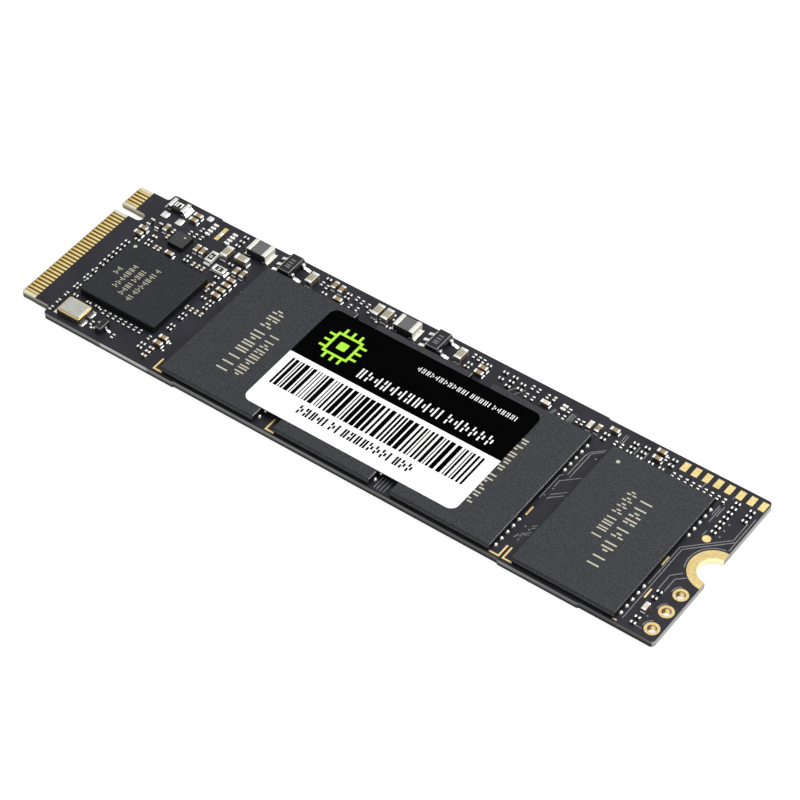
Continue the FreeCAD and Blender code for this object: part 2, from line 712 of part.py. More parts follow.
for name, places, along, across, height, band in (
    ("bulk_capacitor", bulk, BULK_LENGTH, BULK_WIDTH, BULK_HEIGHT, BULK_BAND),
    ("bypass_capacitor", bypass, BYPASS_LENGTH, BYPASS_WIDTH, BYPASS_HEIGHT, BYPASS_BAND),
    ("bias_resistor", bias, BIAS_LENGTH, BIAS_WIDTH, BIAS_HEIGHT, BIAS_BAND),
    ("small_capacitor", small_capacitors, SMALL_LENGTH, SMALL_WIDTH, SMALL_HEIGHT, SMALL_BAND),
    ("series_resistor", series, SMALL_LENGTH, SMALL_WIDTH, SMALL_HEIGHT, SMALL_BAND),
):
    bodies, terminals = chip_parts(places, along, across, height, band)
    save(name + "_bodies", bodies)
    save(name + "_terminals", terminals)
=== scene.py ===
import math
import random

import bmesh
import bpy
from mathutils import Matrix, Vector


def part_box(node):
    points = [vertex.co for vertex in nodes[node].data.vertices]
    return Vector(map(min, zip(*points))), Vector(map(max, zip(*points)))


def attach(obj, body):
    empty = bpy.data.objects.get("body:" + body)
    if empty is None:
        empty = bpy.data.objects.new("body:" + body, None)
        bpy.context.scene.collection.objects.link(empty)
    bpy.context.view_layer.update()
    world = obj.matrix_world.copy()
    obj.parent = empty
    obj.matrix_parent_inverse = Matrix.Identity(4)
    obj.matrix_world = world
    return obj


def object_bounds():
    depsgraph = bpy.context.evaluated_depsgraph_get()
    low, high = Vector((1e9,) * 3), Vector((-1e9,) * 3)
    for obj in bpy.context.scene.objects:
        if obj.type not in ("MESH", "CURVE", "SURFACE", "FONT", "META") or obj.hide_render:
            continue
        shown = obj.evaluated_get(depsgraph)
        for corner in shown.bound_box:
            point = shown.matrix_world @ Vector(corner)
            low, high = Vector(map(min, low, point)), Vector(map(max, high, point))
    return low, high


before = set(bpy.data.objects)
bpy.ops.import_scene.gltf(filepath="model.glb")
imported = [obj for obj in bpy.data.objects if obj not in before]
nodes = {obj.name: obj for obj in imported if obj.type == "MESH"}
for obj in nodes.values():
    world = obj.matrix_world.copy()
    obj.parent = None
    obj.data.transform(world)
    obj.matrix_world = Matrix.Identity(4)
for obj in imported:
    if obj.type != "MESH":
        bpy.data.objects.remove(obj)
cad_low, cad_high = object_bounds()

# Looks of a solid state drive on an M.2 card.
# Places are in millimetres: x from the tip of the tongue, y from the card's middle, z from its underside.
MM = 0.001
board_low, board_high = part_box("circuit_board")
CARD_LENGTH = (board_high.x - board_low.x) / MM
NEAR_EDGE = board_low.y / MM
TOP = board_high.z / MM
TO_FRAME = Matrix.Translation((board_low.x, 0, 0)) @ Matrix.Scale(MM, 4)
FROM_FRAME = TO_FRAME.inverted()
ORIGINS = {"X": board_low.x, "Y": 0, "Z": 0}  # where those places start, in the frame's metres

# Sizes of the card that the looks follow
SEAT_RADIUS = 1.75
HEADER_HOLE = 0.5
HEADER_LAND = 0.8
CONTACT_PITCH = 0.5
TONGUE_LENGTH = 4.0
BARE_TONGUE = 1.9
NOTCH_DEPTH = 5.0
NOTCH_SIDES = (5.0, 7.3)
TONGUE_MARGINS = ((-10.0, -9.45), (5.1, 7.15), (9.3, 10.0))


def box_mm(node):
    """Lowest and highest corner of a CAD node, in millimetres from the tip."""
    low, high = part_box(node)
    return FROM_FRAME @ low, FROM_FRAME @ high


def solids_of(node):
    """Boxes of the separate solids in a CAD node, in millimetres, in order of place."""
    mesh = nodes[node].data
    corners = [tuple(round(c, 3) for c in FROM_FRAME @ v.co) for v in mesh.vertices]
    leader = {c: c for c in corners}

    def find(corner):
        while leader[corner] != corner:
            leader[corner] = leader[leader[corner]]
            corner = leader[corner]
        return corner

    for face in mesh.polygons:
        first = find(corners[face.vertices[0]])
        for v in face.vertices[1:]:
            leader[find(corners[v])] = first
    groups = {}
    for corner in leader:
        groups.setdefault(find(corner), []).append(corner)
    boxes = []
    for group in groups.values():
        low = Vector([min(c[i] for c in group) for i in range(3)])
        high = Vector([max(c[i] for c in group) for i in range(3)])
        boxes.append((low, high))
    return sorted(boxes, key=lambda b: tuple(b[0]))


# Camera at the photograph's viewing angle, for a square picture
CAMERA_AZIMUTH = math.radians(36.787)
CAMERA_ELEVATION = math.radians(46.885)
CAMERA_ROLL = math.radians(0.810)
CAMERA_AIM = Vector((CARD_LENGTH / 2, 0, TOP / 2))
CAMERA_OFFSET = Vector((-1.8624, 0.1527, -314.652))
CAMERA_LENS = 138.65
CAMERA_NEAREST = 0.01


def make_camera():
    azimuth, elevation = CAMERA_AZIMUTH, CAMERA_ELEVATION
    right = Vector((math.cos(azimuth), math.sin(azimuth), 0))
    back = Vector((
        math.sin(azimuth) * math.cos(elevation),
        -math.cos(azimuth) * math.cos(elevation),
        math.sin(elevation),
    ))
    up = back.cross(right)
    cos, sin = math.cos(CAMERA_ROLL), math.sin(CAMERA_ROLL)
    turned_right = right * cos - up * sin
    turned_up = right * sin + up * cos
    turn = Matrix((turned_right, turned_up, back)).transposed()
    data = bpy.data.cameras.new("camera")
    data.lens = CAMERA_LENS
    data.clip_start = CAMERA_NEAREST
    camera = bpy.data.objects.new("camera", data)
    place = TO_FRAME @ (CAMERA_AIM - turn @ CAMERA_OFFSET)
    camera.matrix_world = Matrix.Translation(place) @ turn.to_4x4()
    bpy.context.scene.collection.objects.link(camera)
    bpy.context.scene.camera = camera


# Materials
class Finish:
    """A node material in the making: one principled shader and the textures that drive it."""

    def __init__(self, name, roughness=0.5, metallic=0.0, specular=0.5):
        self.material = bpy.data.materials.new(name)
        self.material.use_nodes = True
        self.tree = self.material.node_tree
        self.shader = self.tree.nodes["Principled BSDF"]
        self.shader.inputs["Roughness"].default_value = roughness
        self.shader.inputs["Metallic"].default_value = metallic
        self.shader.inputs["Specular IOR Level"].default_value = specular
        self.place = self.tree.nodes.new("ShaderNodeTexCoord").outputs["Object"]

    def node(self, kind, **settings):
        made = self.tree.nodes.new(kind)
        for name, value in settings.items():
            setattr(made, name, value)
        return made

    def link(self, output, target):
        self.tree.links.new(output, target)

    def noise(self, grain_mm, detail=3.0, stretch=(1, 1, 1)):
        """Noise whose spots are about grain_mm across, longer where stretch is small."""
        mapping = self.node("ShaderNodeMapping")
        mapping.inputs["Scale"].default_value = stretch
        self.link(self.place, mapping.inputs["Vector"])
        made = self.node("ShaderNodeTexNoise")
        made.inputs["Scale"].default_value = 1 / (grain_mm * MM)
        made.inputs["Detail"].default_value = detail
        self.link(mapping.outputs["Vector"], made.inputs["Vector"])
        return made.outputs["Fac"]

    def math(self, operation, *values):
        """The result of a math node on outputs and plain numbers."""
        made = self.node("ShaderNodeMath", operation=operation)
        for socket, value in zip(made.inputs, values):
            if isinstance(value, (int, float)):
                socket.default_value = value
            else:
                self.link(value, socket)
        return made.outputs["Value"]

    def spread(self, value, start, end, low=0.0, high=1.0):
        """A value that goes from low to high while another goes from start to end."""
        made = self.node("ShaderNodeMapRange")
        made.inputs["From Min"].default_value = start
        made.inputs["From Max"].default_value = end
        made.inputs["To Min"].default_value = low
        made.inputs["To Max"].default_value = high
        self.link(value, made.inputs["Value"])
        return made.outputs["Result"]

    def part(self, vector, axis):
        """A vector's part along one axis."""
        split = self.node("ShaderNodeSeparateXYZ")
        self.link(vector, split.inputs["Vector"])
        return split.outputs[axis]

    def normal(self):
        return self.node("ShaderNodeNewGeometry").outputs["True Normal"]

    def ramp(self, value, stops):
        """Colours that follow a value, each from its own stop."""
        made = self.node("ShaderNodeValToRGB")
        elements = made.color_ramp.elements
        for i, (position, color) in enumerate(stops):
            element = elements[i] if i < 2 else elements.new(position)
            element.position = position
            element.color = (*color, 1)
        self.link(value, made.inputs["Fac"])
        return made.outputs["Color"]

    def mix(self, factor, first, second):
        made = self.node("ShaderNodeMix", data_type="RGBA")
        self.link(factor, made.inputs["Factor"])
        self.link(first, made.inputs["A"])
        self.link(second, made.inputs["B"])
        return made.outputs["Result"]

    def axis_step(self, axis, edge_mm):
        """One beyond a plane across an axis of the card, zero before it."""
        return self.math("GREATER_THAN", self.part(self.place, axis), ORIGINS[axis] + edge_mm * MM)

    def level(self):
        """One on faces that look up, zero on upright ones and on those that look down."""
        return self.math("MAXIMUM", self.part(self.normal(), "Z"), 0)

    def inside(self, x0, x1, y0, y1):
        """One inside a rectangle of the card, zero outside it."""
        within = []
        for axis, low, high in (("X", x0, x1), ("Y", y0, y1)):
            middle = ORIGINS[axis] + (low + high) / 2 * MM
            reach = (high - low) / 2 * MM
            within.append(self.math("COMPARE", self.part(self.place, axis), middle, reach))
        return self.math("MULTIPLY", *within)

    def upper_edge(self):
        """One on the rounding between an upper face and the sides, zero on both."""
        none, full = (0, 0, 0), (1, 1, 1)
        return self.ramp(self.level(), ((0.3, none), (0.38, full), (0.93, full), (0.97, none)))

    def any_of(self, values):
        """The largest of several values."""
        total = values[0]
        for value in values[1:]:
            total = self.math("MAXIMUM", total, value)
        return total

    def axis_ramp(self, axis, reach_mm, stops):
        """Colours that follow one axis of the card, each from its own place in millimetres."""
        origin = ORIGINS[axis]
        share = self.spread(self.part(self.place, axis), origin, origin + reach_mm * MM)
        return self.ramp(share, [(place / reach_mm, color) for place, color in stops])

    def multiply(self, first, second):
        made = self.node("ShaderNodeMix", data_type="RGBA", blend_type="MULTIPLY")
        made.inputs["Factor"].default_value = 1
        self.link(first, made.inputs["A"])
        self.link(second, made.inputs["B"])
        return made.outputs["Result"]

    def color(self, output):
        self.link(output, self.shader.inputs["Base Color"])
        return self

    def tones(self, grain_mm, dark, light, detail=3.0, stretch=(1, 1, 1)):
        """Base colour that wanders between two tones."""
        return self.color(self.ramp(self.noise(grain_mm, detail, stretch), ((0.3, dark), (0.7, light))))

    def polish(self, grain_mm, low, high):
        """Roughness that wanders between two values."""
        self.link(self.spread(self.noise(grain_mm), 0, 1, low, high), self.shader.inputs["Roughness"])
        return self

    def worn_edges(self, polish):
        """Smoother by up to polish on rounded edges, between the flat faces and the upright ones."""
        level = self.level()
        edge = self.math("MULTIPLY", level, self.math("SUBTRACT", 1, level))
        roughness = self.shader.inputs["Roughness"]
        self.link(self.math("MULTIPLY_ADD", edge, -4 * polish, roughness.links[0].from_socket), roughness)
        return self

    def bump(self, grain_mm, depth_mm, strength=0.5, stretch=(1, 1, 1), faceted=False):
        """Fine relief, on flat facets where the piece has sharp chamfers."""
        made = self.node("ShaderNodeBump")
        if faceted:
            self.link(self.normal(), made.inputs["Normal"])
        made.inputs["Strength"].default_value = strength
        made.inputs["Distance"].default_value = depth_mm * MM
        self.link(self.noise(grain_mm, 2.0, stretch), made.inputs["Height"])
        self.link(made.outputs["Normal"], self.shader.inputs["Normal"])
        return self


GREY = (1.0, 1.0, 1.0)
GREEN_GREY = (0.97, 1.0, 0.97)
BLUE_GREY = (1.0, 1.0, 1.06)
CREAM = (1.0, 0.93, 0.7)


def shades(tint, stops):
    """Stops for a ramp: one tint, with a brightness for each place."""
    return [(place, tuple(share * c for c in tint)) for place, share in stops]


def mask_finish():
    """Satin solder mask, its tone drifting slowly over the card."""
    made = Finish("solder_mask", specular=0.2)
    made.tones(2.5, (0.010, 0.010, 0.015), (0.018, 0.018, 0.025), detail=5.0)
    return made.polish(0.4, 0.34, 0.5).bump(0.12, 0.01, 0.25).material


def laminate_finish(name, heights, tones):
    """Cut edge of glass laminate: layers of fibre, painted light and shade by height, and tones by place
    along the card.
    """
    made = Finish(name, roughness=0.7, specular=0.2)
    fibre = made.ramp(
        made.noise(0.25, 6.0, (0.08, 0.08, 1.5)), ((0.3, (0.62, 0.63, 0.62)), (0.7, (1.0, 1.0, 1.0)))
    )
    shade = made.axis_ramp("Z", TOP, shades(GREY, heights))
    tone = made.axis_ramp("X", CARD_LENGTH, shades(GREEN_GREY, tones))
    made.color(made.multiply(fibre, made.multiply(shade, tone)))
    return made.bump(0.1, 0.02, 0.5, (0.1, 0.1, 1)).material


def bare_laminate_finish():
    """Bare laminate between the contacts, pale along the tongue's sides and notch."""
    made = Finish("bare_laminate", roughness=0.5, specular=0.2)
    plain = made.ramp(made.noise(0.2, 4.0), ((0.3, (0.028, 0.017, 0.002)), (0.7, (0.055, 0.035, 0.006))))
    worn = made.ramp(made.noise(0.2, 4.0), ((0.3, (0.44, 0.41, 0.30)), (0.7, (0.62, 0.58, 0.44))))
    sides = [made.inside(0, BARE_TONGUE, y0, y1) for y0, y1 in TONGUE_MARGINS]
    made.color(made.mix(made.any_of(sides), plain, worn))
    return made.bump(0.1, 0.01, 0.4).material


def tongue_edge_finish(name, heights):
    """Cut laminate round the tongue, cream, with painted shade that darkens it towards the card's underside.
    """
    made = Finish(name, roughness=0.7, specular=0.3)
    fibre = made.ramp(
        made.noise(0.2, 5.0, (0.3, 0.3, 1.5)), ((0.3, (0.66, 0.65, 0.6)), (0.7, (1.0, 1.0, 1.0)))
    )
    shade = made.axis_ramp("Z", TOP, shades(CREAM, heights))
    made.color(made.multiply(fibre, shade))
    return made.bump(0.1, 0.02, 0.4).material


def plated(made):
    """The sheen and the fine grain that all gold plating has."""
    return made.polish(0.25, 0.24, 0.42).bump(0.08, 0.006, 0.3).material


def gold_finish(name, dark, light, metallic=1.0):
    made = Finish(name, metallic=metallic)
    return plated(made.tones(0.5, dark, light))


def contact_finish(name, node):
    """Gold contacts with painted light: palest along their middles and towards their inner ends as a painted
    highlight, brown along their sides as painted shade.
    """
    made = Finish(name, metallic=1.0)
    gold = made.ramp(made.noise(0.5), ((0.3, (0.90, 0.72, 0.31)), (0.7, (1.0, 0.86, 0.44))))
    low, high = solids_of(node)[0]
    half_pitch = CONTACT_PITCH / 2 * MM
    offset = made.math("SUBTRACT", made.part(made.place, "Y"), (low.y + high.y) / 2 * MM)
    aside = made.spread(made.math("PINGPONG", offset, half_pitch), 0, half_pitch)
    # Painted shade along each contact's sides
    sides = made.ramp(aside, ((0.36, (1, 1, 1)), (0.66, (0.34, 0.24, 0.09))))
    # Painted highlight: brighter away from the tip, towards the inner ends
    run = made.axis_ramp(
        "X", CARD_LENGTH, ((0.3, (0.82, 0.74, 0.54)), (0.9, (0.96, 0.92, 0.82)), (1.6, (1, 1, 1)))
    )
    return plated(made.color(made.multiply(gold, made.multiply(sides, run))))


# Direction across the stretch of a hole's wall that carries the painted highlight
HOLE_ASIDE = (0.8, 0.6, 0)


def hole_finish():
    """Gold hole walls with painted light: a painted highlight on the stretch that faces the near edge,
    painted shade in brown beside it and under the land.
    """
    made = Finish("hole_plating", metallic=1.0)
    gold = made.ramp(made.noise(0.3), ((0.3, (0.80, 0.60, 0.26)), (0.7, (1.0, 0.82, 0.42))))
    aside = made.node("ShaderNodeVectorMath", operation="DOT_PRODUCT")
    aside.inputs[1].default_value = HOLE_ASIDE
    made.link(made.normal(), aside.inputs[0])
    turn = made.spread(aside.outputs["Value"], -1, 1)
    brown, pale = (0.22, 0.14, 0.06), (1, 1, 1)
    shade = made.ramp(turn, ((0.05, brown), (0.2, pale), (0.42, pale), (0.62, brown)))
    # Painted shade at the top of the wall, under the land
    rim = made.axis_ramp("Z", TOP, ((0.52, pale), (0.72, (0.36, 0.27, 0.16))))
    return plated(made.color(made.multiply(gold, made.multiply(shade, rim))))


def moulding_finish(name, dark, light, specular, worn):
    """Moulding compound: charcoal with a fine pale filler, smoother along its chamfers where worn."""
    made = Finish(name, specular=specular)
    made.color(made.ramp(made.noise(0.14), ((0.38, dark), (0.64, light))))
    return made.polish(0.1, 0.48, 0.64).worn_edges(worn).bump(0.06, 0.012, 0.3, faceted=True).material


def cut_moulding_finish(name, heights):
    """A package's sawn sides, with brightness set by height."""
    made = Finish(name, specular=0.1)
    grain = made.ramp(made.noise(0.2), ((0.3, (0.55, 0.55, 0.58)), (0.7, (1.0, 1.0, 1.0))))
    shade = made.axis_ramp("Z", cad_high.z / MM, shades(BLUE_GREY, heights))
    made.color(made.multiply(grain, shade))
    return made.polish(0.1, 0.6, 0.75).material


# Strokes on each regulator: their near sides from its middle, half their length, their width and their depth
REGULATOR_STROKES = (-0.75, -0.45, -0.05, 0.4)
STROKE_REACH = 0.3
STROKE_WIDTH = 0.16
STROKE_DEPTH = 0.02


def black_plastic_finish():
    """Black moulding, pale along its upper edges as a painted highlight, with four strokes on each regulator.
    """
    made = Finish("regulator_moulding", specular=0.25)
    black = made.ramp(made.noise(0.06), ((0.3, (0.004, 0.004, 0.005)), (0.7, (0.014, 0.014, 0.016))))
    # pale serves both the printed strokes and the painted highlight on the upper edges
    pale = made.ramp(made.noise(0.1), ((0.3, (0.10, 0.10, 0.102)), (0.7, (0.22, 0.22, 0.22))))
    strokes = []
    for node in ("regulator_1_body", "regulator_2_body"):
        low, high = box_mm(node)
        x, y = (low.x + high.x) / 2, (low.y + high.y) / 2
        for side in REGULATOR_STROKES:
            strokes.append(made.inside(x - STROKE_REACH, x + STROKE_REACH, y + side, y + side + STROKE_WIDTH))
    on_top = made.axis_step("Z", box_mm("regulator_1_body")[1].z - STROKE_DEPTH)
    marks = made.math("MULTIPLY", made.any_of(strokes), on_top)
    # Painted highlight along the upper edges, print on the strokes
    made.color(made.mix(made.any_of([marks, made.upper_edge()]), black, pale))
    return made.polish(0.1, 0.5, 0.66).worn_edges(0.4).bump(0.05, 0.01, 0.3, faceted=True).material


def tin_finish(name, dark, light, metallic=1.0):
    made = Finish(name, metallic=metallic)
    made.tones(0.15, dark, light)
    return made.polish(0.12, 0.26, 0.46).bump(0.07, 0.01, 0.4).material


def lid_finish():
    """Stamped lid with fine lines along its length."""
    made = Finish("lid_steel", metallic=1.0)
    made.tones(0.08, (0.46, 0.46, 0.43), (0.64, 0.64, 0.60), stretch=(0.1, 1, 1))
    return made.polish(0.1, 0.3, 0.45).bump(0.05, 0.006, 0.4, (0.1, 1, 1)).material


def ceramic_finish(name, dark, light):
    made = Finish(name, specular=0.2)
    made.tones(0.09, dark, light)
    return made.polish(0.1, 0.3, 0.5).bump(0.05, 0.008, 0.3).material


def capacitor_finish(name, dark, light, side, edge):
    """Fired ceramic, lighter on its flat faces than on its sides as painted light and shade, and palest along
    its edges as a painted highlight.
    """
    made = Finish(name, specular=0.35)
    flat = made.ramp(made.noise(0.09), ((0.3, dark), (0.7, light)))
    # Painted shade on the upright sides
    upright = made.ramp(made.noise(0.12), ((0.3, [c * 0.8 for c in side]), (0.7, side)))
    edge_highlight = made.ramp(made.noise(0.1), ((0.3, [c * 0.85 for c in edge]), (0.7, edge)))
    made.color(made.mix(made.upper_edge(), made.mix(made.level(), upright, flat), edge_highlight))
    return made.polish(0.1, 0.34, 0.52).bump(0.05, 0.008, 0.3).material


def label_finish(edge_mm):
    """Coated paper, printed black beyond edge_mm across the card and white before it."""
    made = Finish("label_paper", specular=0.01)
    paper = made.ramp(made.noise(0.15, 5.0), ((0.3, (0.80, 0.80, 0.79)), (0.7, (0.88, 0.88, 0.88))))
    ink = made.ramp(made.noise(0.3, 4.0), ((0.3, (0.0001, 0.0001, 0.0001)), (0.7, (0.0006, 0.0006, 0.0006))))
    made.color(made.mix(made.axis_step("Y", edge_mm), paper, ink))
    return made.polish(0.5, 0.4, 0.52).bump(0.25, 0.006, 0.3).material


def ink_finish(name, dark, light, specular=0.1):
    made = Finish(name, specular=specular)
    made.tones(0.12, dark, light)
    return made.polish(0.1, 0.45, 0.6).material


label_low, label_high = box_mm("label")
WHITE_BAND = 8.1  # width of the label's white part
GOLD = gold_finish("gold_plating", (0.64, 0.49, 0.20), (0.77, 0.61, 0.30))
PAD_GOLD = gold_finish("pad_plating", (0.76, 0.60, 0.24), (0.90, 0.74, 0.34))
CONTACT_GOLD = contact_finish("contact_plating", "edge_contacts_top")
UNDER_GOLD = contact_finish("underside_contact_plating", "edge_contacts_bottom")
MARK_GOLD = gold_finish("mark_plating", (0.68, 0.49, 0.19), (0.84, 0.63, 0.28), metallic=0.3)
SEAT_GOLD = gold_finish("seat_plating", (0.92, 0.84, 0.48), (0.99, 0.93, 0.60))
HOLE_GOLD = hole_finish()
MASK = mask_finish()
# Painted shade: the cut edges go black towards the card's underside, a painted contact shadow along their
# foot.
EDGE_SHADES = ((0.18, 0.0), (0.27, 0.17), (0.42, 0.6), (0.55, 0.95), (TOP - 0.05, 1.0))
LAMINATE = laminate_finish("laminate_edge", EDGE_SHADES, ((0, 0.22), (CARD_LENGTH, 0.16)))
NEAR_LAMINATE = laminate_finish(
    "laminate_near_edge",
    EDGE_SHADES,
    (
        (11.6, 0.24), (11.8, 0.6), (17.9, 0.6), (18.1, 0.24), (40, 0.22),
        (55, 0.115), (62, 0.115), (62.2, 0.26), (71.3, 0.19), (71.5, 0.11),
    ),
)
# Painted light: a lit copy of the laminate for the card's far end, which faces the rim lamp, palest towards
# its underside.
END_LAMINATE = laminate_finish(
    "laminate_end", ((0.0, 1.0), (0.55, 0.95), (TOP, 0.5)), ((CARD_LENGTH / 2, 0.42), (CARD_LENGTH, 0.42))
)
BARE = bare_laminate_finish()
# Painted shade: both finishes darken towards the card's underside.
TONGUE_EDGE = tongue_edge_finish("tongue_edge", ((0.15, 0.05), (0.45, 0.14), (TOP, 0.5)))
NOTCH_WALL = tongue_edge_finish("notch_wall", ((0.1, 0.17), (0.4, 0.36), (TOP, 0.9)))
MOULDING = moulding_finish("moulding", (0.001, 0.001, 0.003), (0.025, 0.028, 0.036), 0.4, 0.36)
CONTROLLER_MOULDING = moulding_finish(
    "controller_moulding", (0.007, 0.008, 0.011), (0.018, 0.020, 0.025), 0.22, 0.0
)
POWER_MOULDING = moulding_finish("power_moulding", (0.018, 0.019, 0.021), (0.045, 0.046, 0.05), 0.25, 0.0)
PACKAGE_MOULDINGS = (MOULDING, CONTROLLER_MOULDING, POWER_MOULDING)
CUT_MOULDING = cut_moulding_finish("cut_moulding", ((TOP, 0.009), (cad_high.z / MM, 0.009)))
# Painted light and shade: a lit copy for the memory packages' sides that face across the card, with a paler
# band low on the moulding where light falls, and a near-black foot that is partly the dark substrate and
# partly painted shadow in the gap under the package.
LIT_CAP_MOULDING = cut_moulding_finish(
    "lit_cap_moulding", ((0.98, 0.003), (1.08, 0.03), (1.2, 0.085), (1.34, 0.06), (1.46, 0.036), (1.6, 0.036))
)
BLACK_PLASTIC = black_plastic_finish()
TIN = tin_finish("tin_plating", (0.74, 0.74, 0.71), (0.92, 0.92, 0.89))
CLIP_TIN = tin_finish("clip_tin", (0.62, 0.61, 0.54), (0.80, 0.79, 0.71), metallic=0.45)
LID = lid_finish()
# Ceramic and ferrite bodies: tones of their flat faces, then of their sides with painted shade, then the
# painted highlight along their edges.
FERRITE = capacitor_finish(
    "ferrite", (0.07, 0.07, 0.074), (0.13, 0.13, 0.134), (0.018, 0.018, 0.02), (0.05, 0.05, 0.052)
)
DARK_CERAMIC = ceramic_finish("dark_ceramic", (0.012, 0.011, 0.010), (0.03, 0.028, 0.026))
WHITE_CERAMIC = ceramic_finish("white_ceramic", (0.66, 0.65, 0.62), (0.80, 0.79, 0.76))
BEIGE_CERAMIC = capacitor_finish(
    "beige_ceramic", (0.24, 0.215, 0.15), (0.35, 0.32, 0.23), (0.13, 0.09, 0.055), (0.78, 0.74, 0.62)
)
TAN_CERAMIC = capacitor_finish(
    "tan_ceramic", (0.19, 0.135, 0.06), (0.31, 0.22, 0.11), (0.09, 0.045, 0.027), (0.42, 0.31, 0.17)
)
PALE_CERAMIC = capacitor_finish(
    "pale_ceramic", (0.48, 0.42, 0.34), (0.64, 0.57, 0.47), (0.2, 0.12, 0.07), (0.74, 0.68, 0.58)
)
PAPER = label_finish(label_low.y + WHITE_BAND)
CREAM_INK = ink_finish("cream_mark", (0.36, 0.34, 0.26), (0.52, 0.49, 0.38))
WHITE_INK = ink_finish("white_ink", (0.78, 0.78, 0.77), (0.90, 0.90, 0.89))
BLACK_INK = ink_finish("black_ink", (0.0003, 0.0003, 0.0003), (0.001, 0.001, 0.001), specular=0.01)
GREEN_INK = ink_finish("green_ink", (0.30, 0.62, 0.03), (0.38, 0.72, 0.05))


# Finishes of the CAD nodes, with the edge rounding that each kind of piece has
NODE_LOOKS = {
    "edge_contacts_top": (CONTACT_GOLD, 0),
    "edge_contacts_bottom": (UNDER_GOLD, 0),
    "screw_seat_ring": (GOLD, 0),
    "header_eyelets": (GOLD, 0),
    "test_pads": (PAD_GOLD, 0),
    "package_marks": (MARK_GOLD, 0),
    "controller_chip": (CONTROLLER_MOULDING, 0.07),
    "memory_chip_1": (MOULDING, 0.07),
    "memory_chip_2": (MOULDING, 0.07),
    "memory_chip_3": (MOULDING, 0.07),
    "memory_chip_4": (MOULDING, 0.07),
    "power_chip": (POWER_MOULDING, 0.03),
    "label": (PAPER, 0),
    "crystal_terminals": (TIN, 0),
    "crystal_base": (DARK_CERAMIC, 0),
    "crystal_seal_ring": (GOLD, 0.02),
    "crystal_lid": (LID, 0.03),
    "regulator_1_body": (BLACK_PLASTIC, 0.06),
    "regulator_1_leads": (TIN, 0.015),
    "regulator_2_body": (BLACK_PLASTIC, 0.06),
    "regulator_2_leads": (TIN, 0.015),
    "transistor_body": (BLACK_PLASTIC, 0.06),
    "transistor_leads": (TIN, 0.01),
    "inductor_1_body": (FERRITE, 0.03),
    "inductor_1_clips": (CLIP_TIN, 0.06),
    "inductor_2_body": (FERRITE, 0.03),
    "inductor_2_clips": (CLIP_TIN, 0.06),
    "fuse_body": (DARK_CERAMIC, 0.02),
    "fuse_clips": (TIN, 0.03),
    "chip_resistor_bodies": (WHITE_CERAMIC, 0),
    "chip_resistor_clips": (TIN, 0.02),
    "chip_resistor_coats": (DARK_CERAMIC, 0),
    "bulk_capacitor_bodies": (BEIGE_CERAMIC, 0.05),
    "bulk_capacitor_terminals": (TIN, 0.03),
    "bypass_capacitor_bodies": (TAN_CERAMIC, 0.02),
    "bypass_capacitor_terminals": (TIN, 0.03),
    "bias_resistor_bodies": (DARK_CERAMIC, 0),
    "bias_resistor_terminals": (TIN, 0.02),
    "small_capacitor_bodies": (TAN_CERAMIC, 0.015),
    "small_capacitor_terminals": (TIN, 0.02),
    "series_resistor_bodies": (DARK_CERAMIC, 0),
    "series_resistor_terminals": (TIN, 0.02),
}
SHARP_ANGLE = math.radians(40)
WELD_DISTANCE = 0.0005
FACING = 0.5  # a face looks along an axis where its normal's part along it is larger


def soften(node, rounding_mm):
    """Rounds the sharp edges of a CAD node, or chamfers them on a moulded package."""
    made = nodes[node].modifiers
    weld = made.new("weld", "WELD")
    weld.merge_threshold = WELD_DISTANCE * MM
    bevel = made.new("rounding", "BEVEL")
    bevel.width = rounding_mm * MM
    bevel.limit_method = "ANGLE"
    bevel.angle_limit = SHARP_ANGLE
    bevel.loop_slide = False
    if NODE_LOOKS[node][0] in (*PACKAGE_MOULDINGS, BLACK_PLASTIC):
        bevel.segments = 1
        bevel.material = 0
        return
    bevel.segments = 2
    made.new("normals", "WEIGHTED_NORMAL")


def dress_sides(node, long_sides):
    """Sawn moulding on the upright faces of a package, those along the card with a finish of their own, which
    on the memory packages is a lit copy with painted light.
    """
    mesh = nodes[node].data
    mesh.materials.append(CUT_MOULDING)
    mesh.materials.append(long_sides)
    for face in mesh.polygons:
        if abs(face.normal.z) < FACING:
            face.material_index = 2 if abs(face.normal.y) > FACING else 1


def dress_nodes():
    for node, (material, rounding) in NODE_LOOKS.items():
        nodes[node].data.materials.clear()
        nodes[node].data.materials.append(material)
        if rounding:
            soften(node, rounding)
        if material in PACKAGE_MOULDINGS:
            dress_sides(node, LIT_CAP_MOULDING if material is MOULDING else CUT_MOULDING)


BOARD_FINISHES = (
    MASK, LAMINATE, NEAR_LAMINATE, END_LAMINATE, BARE, TONGUE_EDGE, NOTCH_WALL, SEAT_GOLD, HOLE_GOLD
)
WALL_MARGIN = 0.02  # how far outside a hole's radius the middle of its wall's faces may lie
CARD_MARGIN = 0.1  # distance from the seat's sides and from the tongue's root
BEVEL_TILT = -0.2  # normals on the tip's bevel lean further towards the tip than this


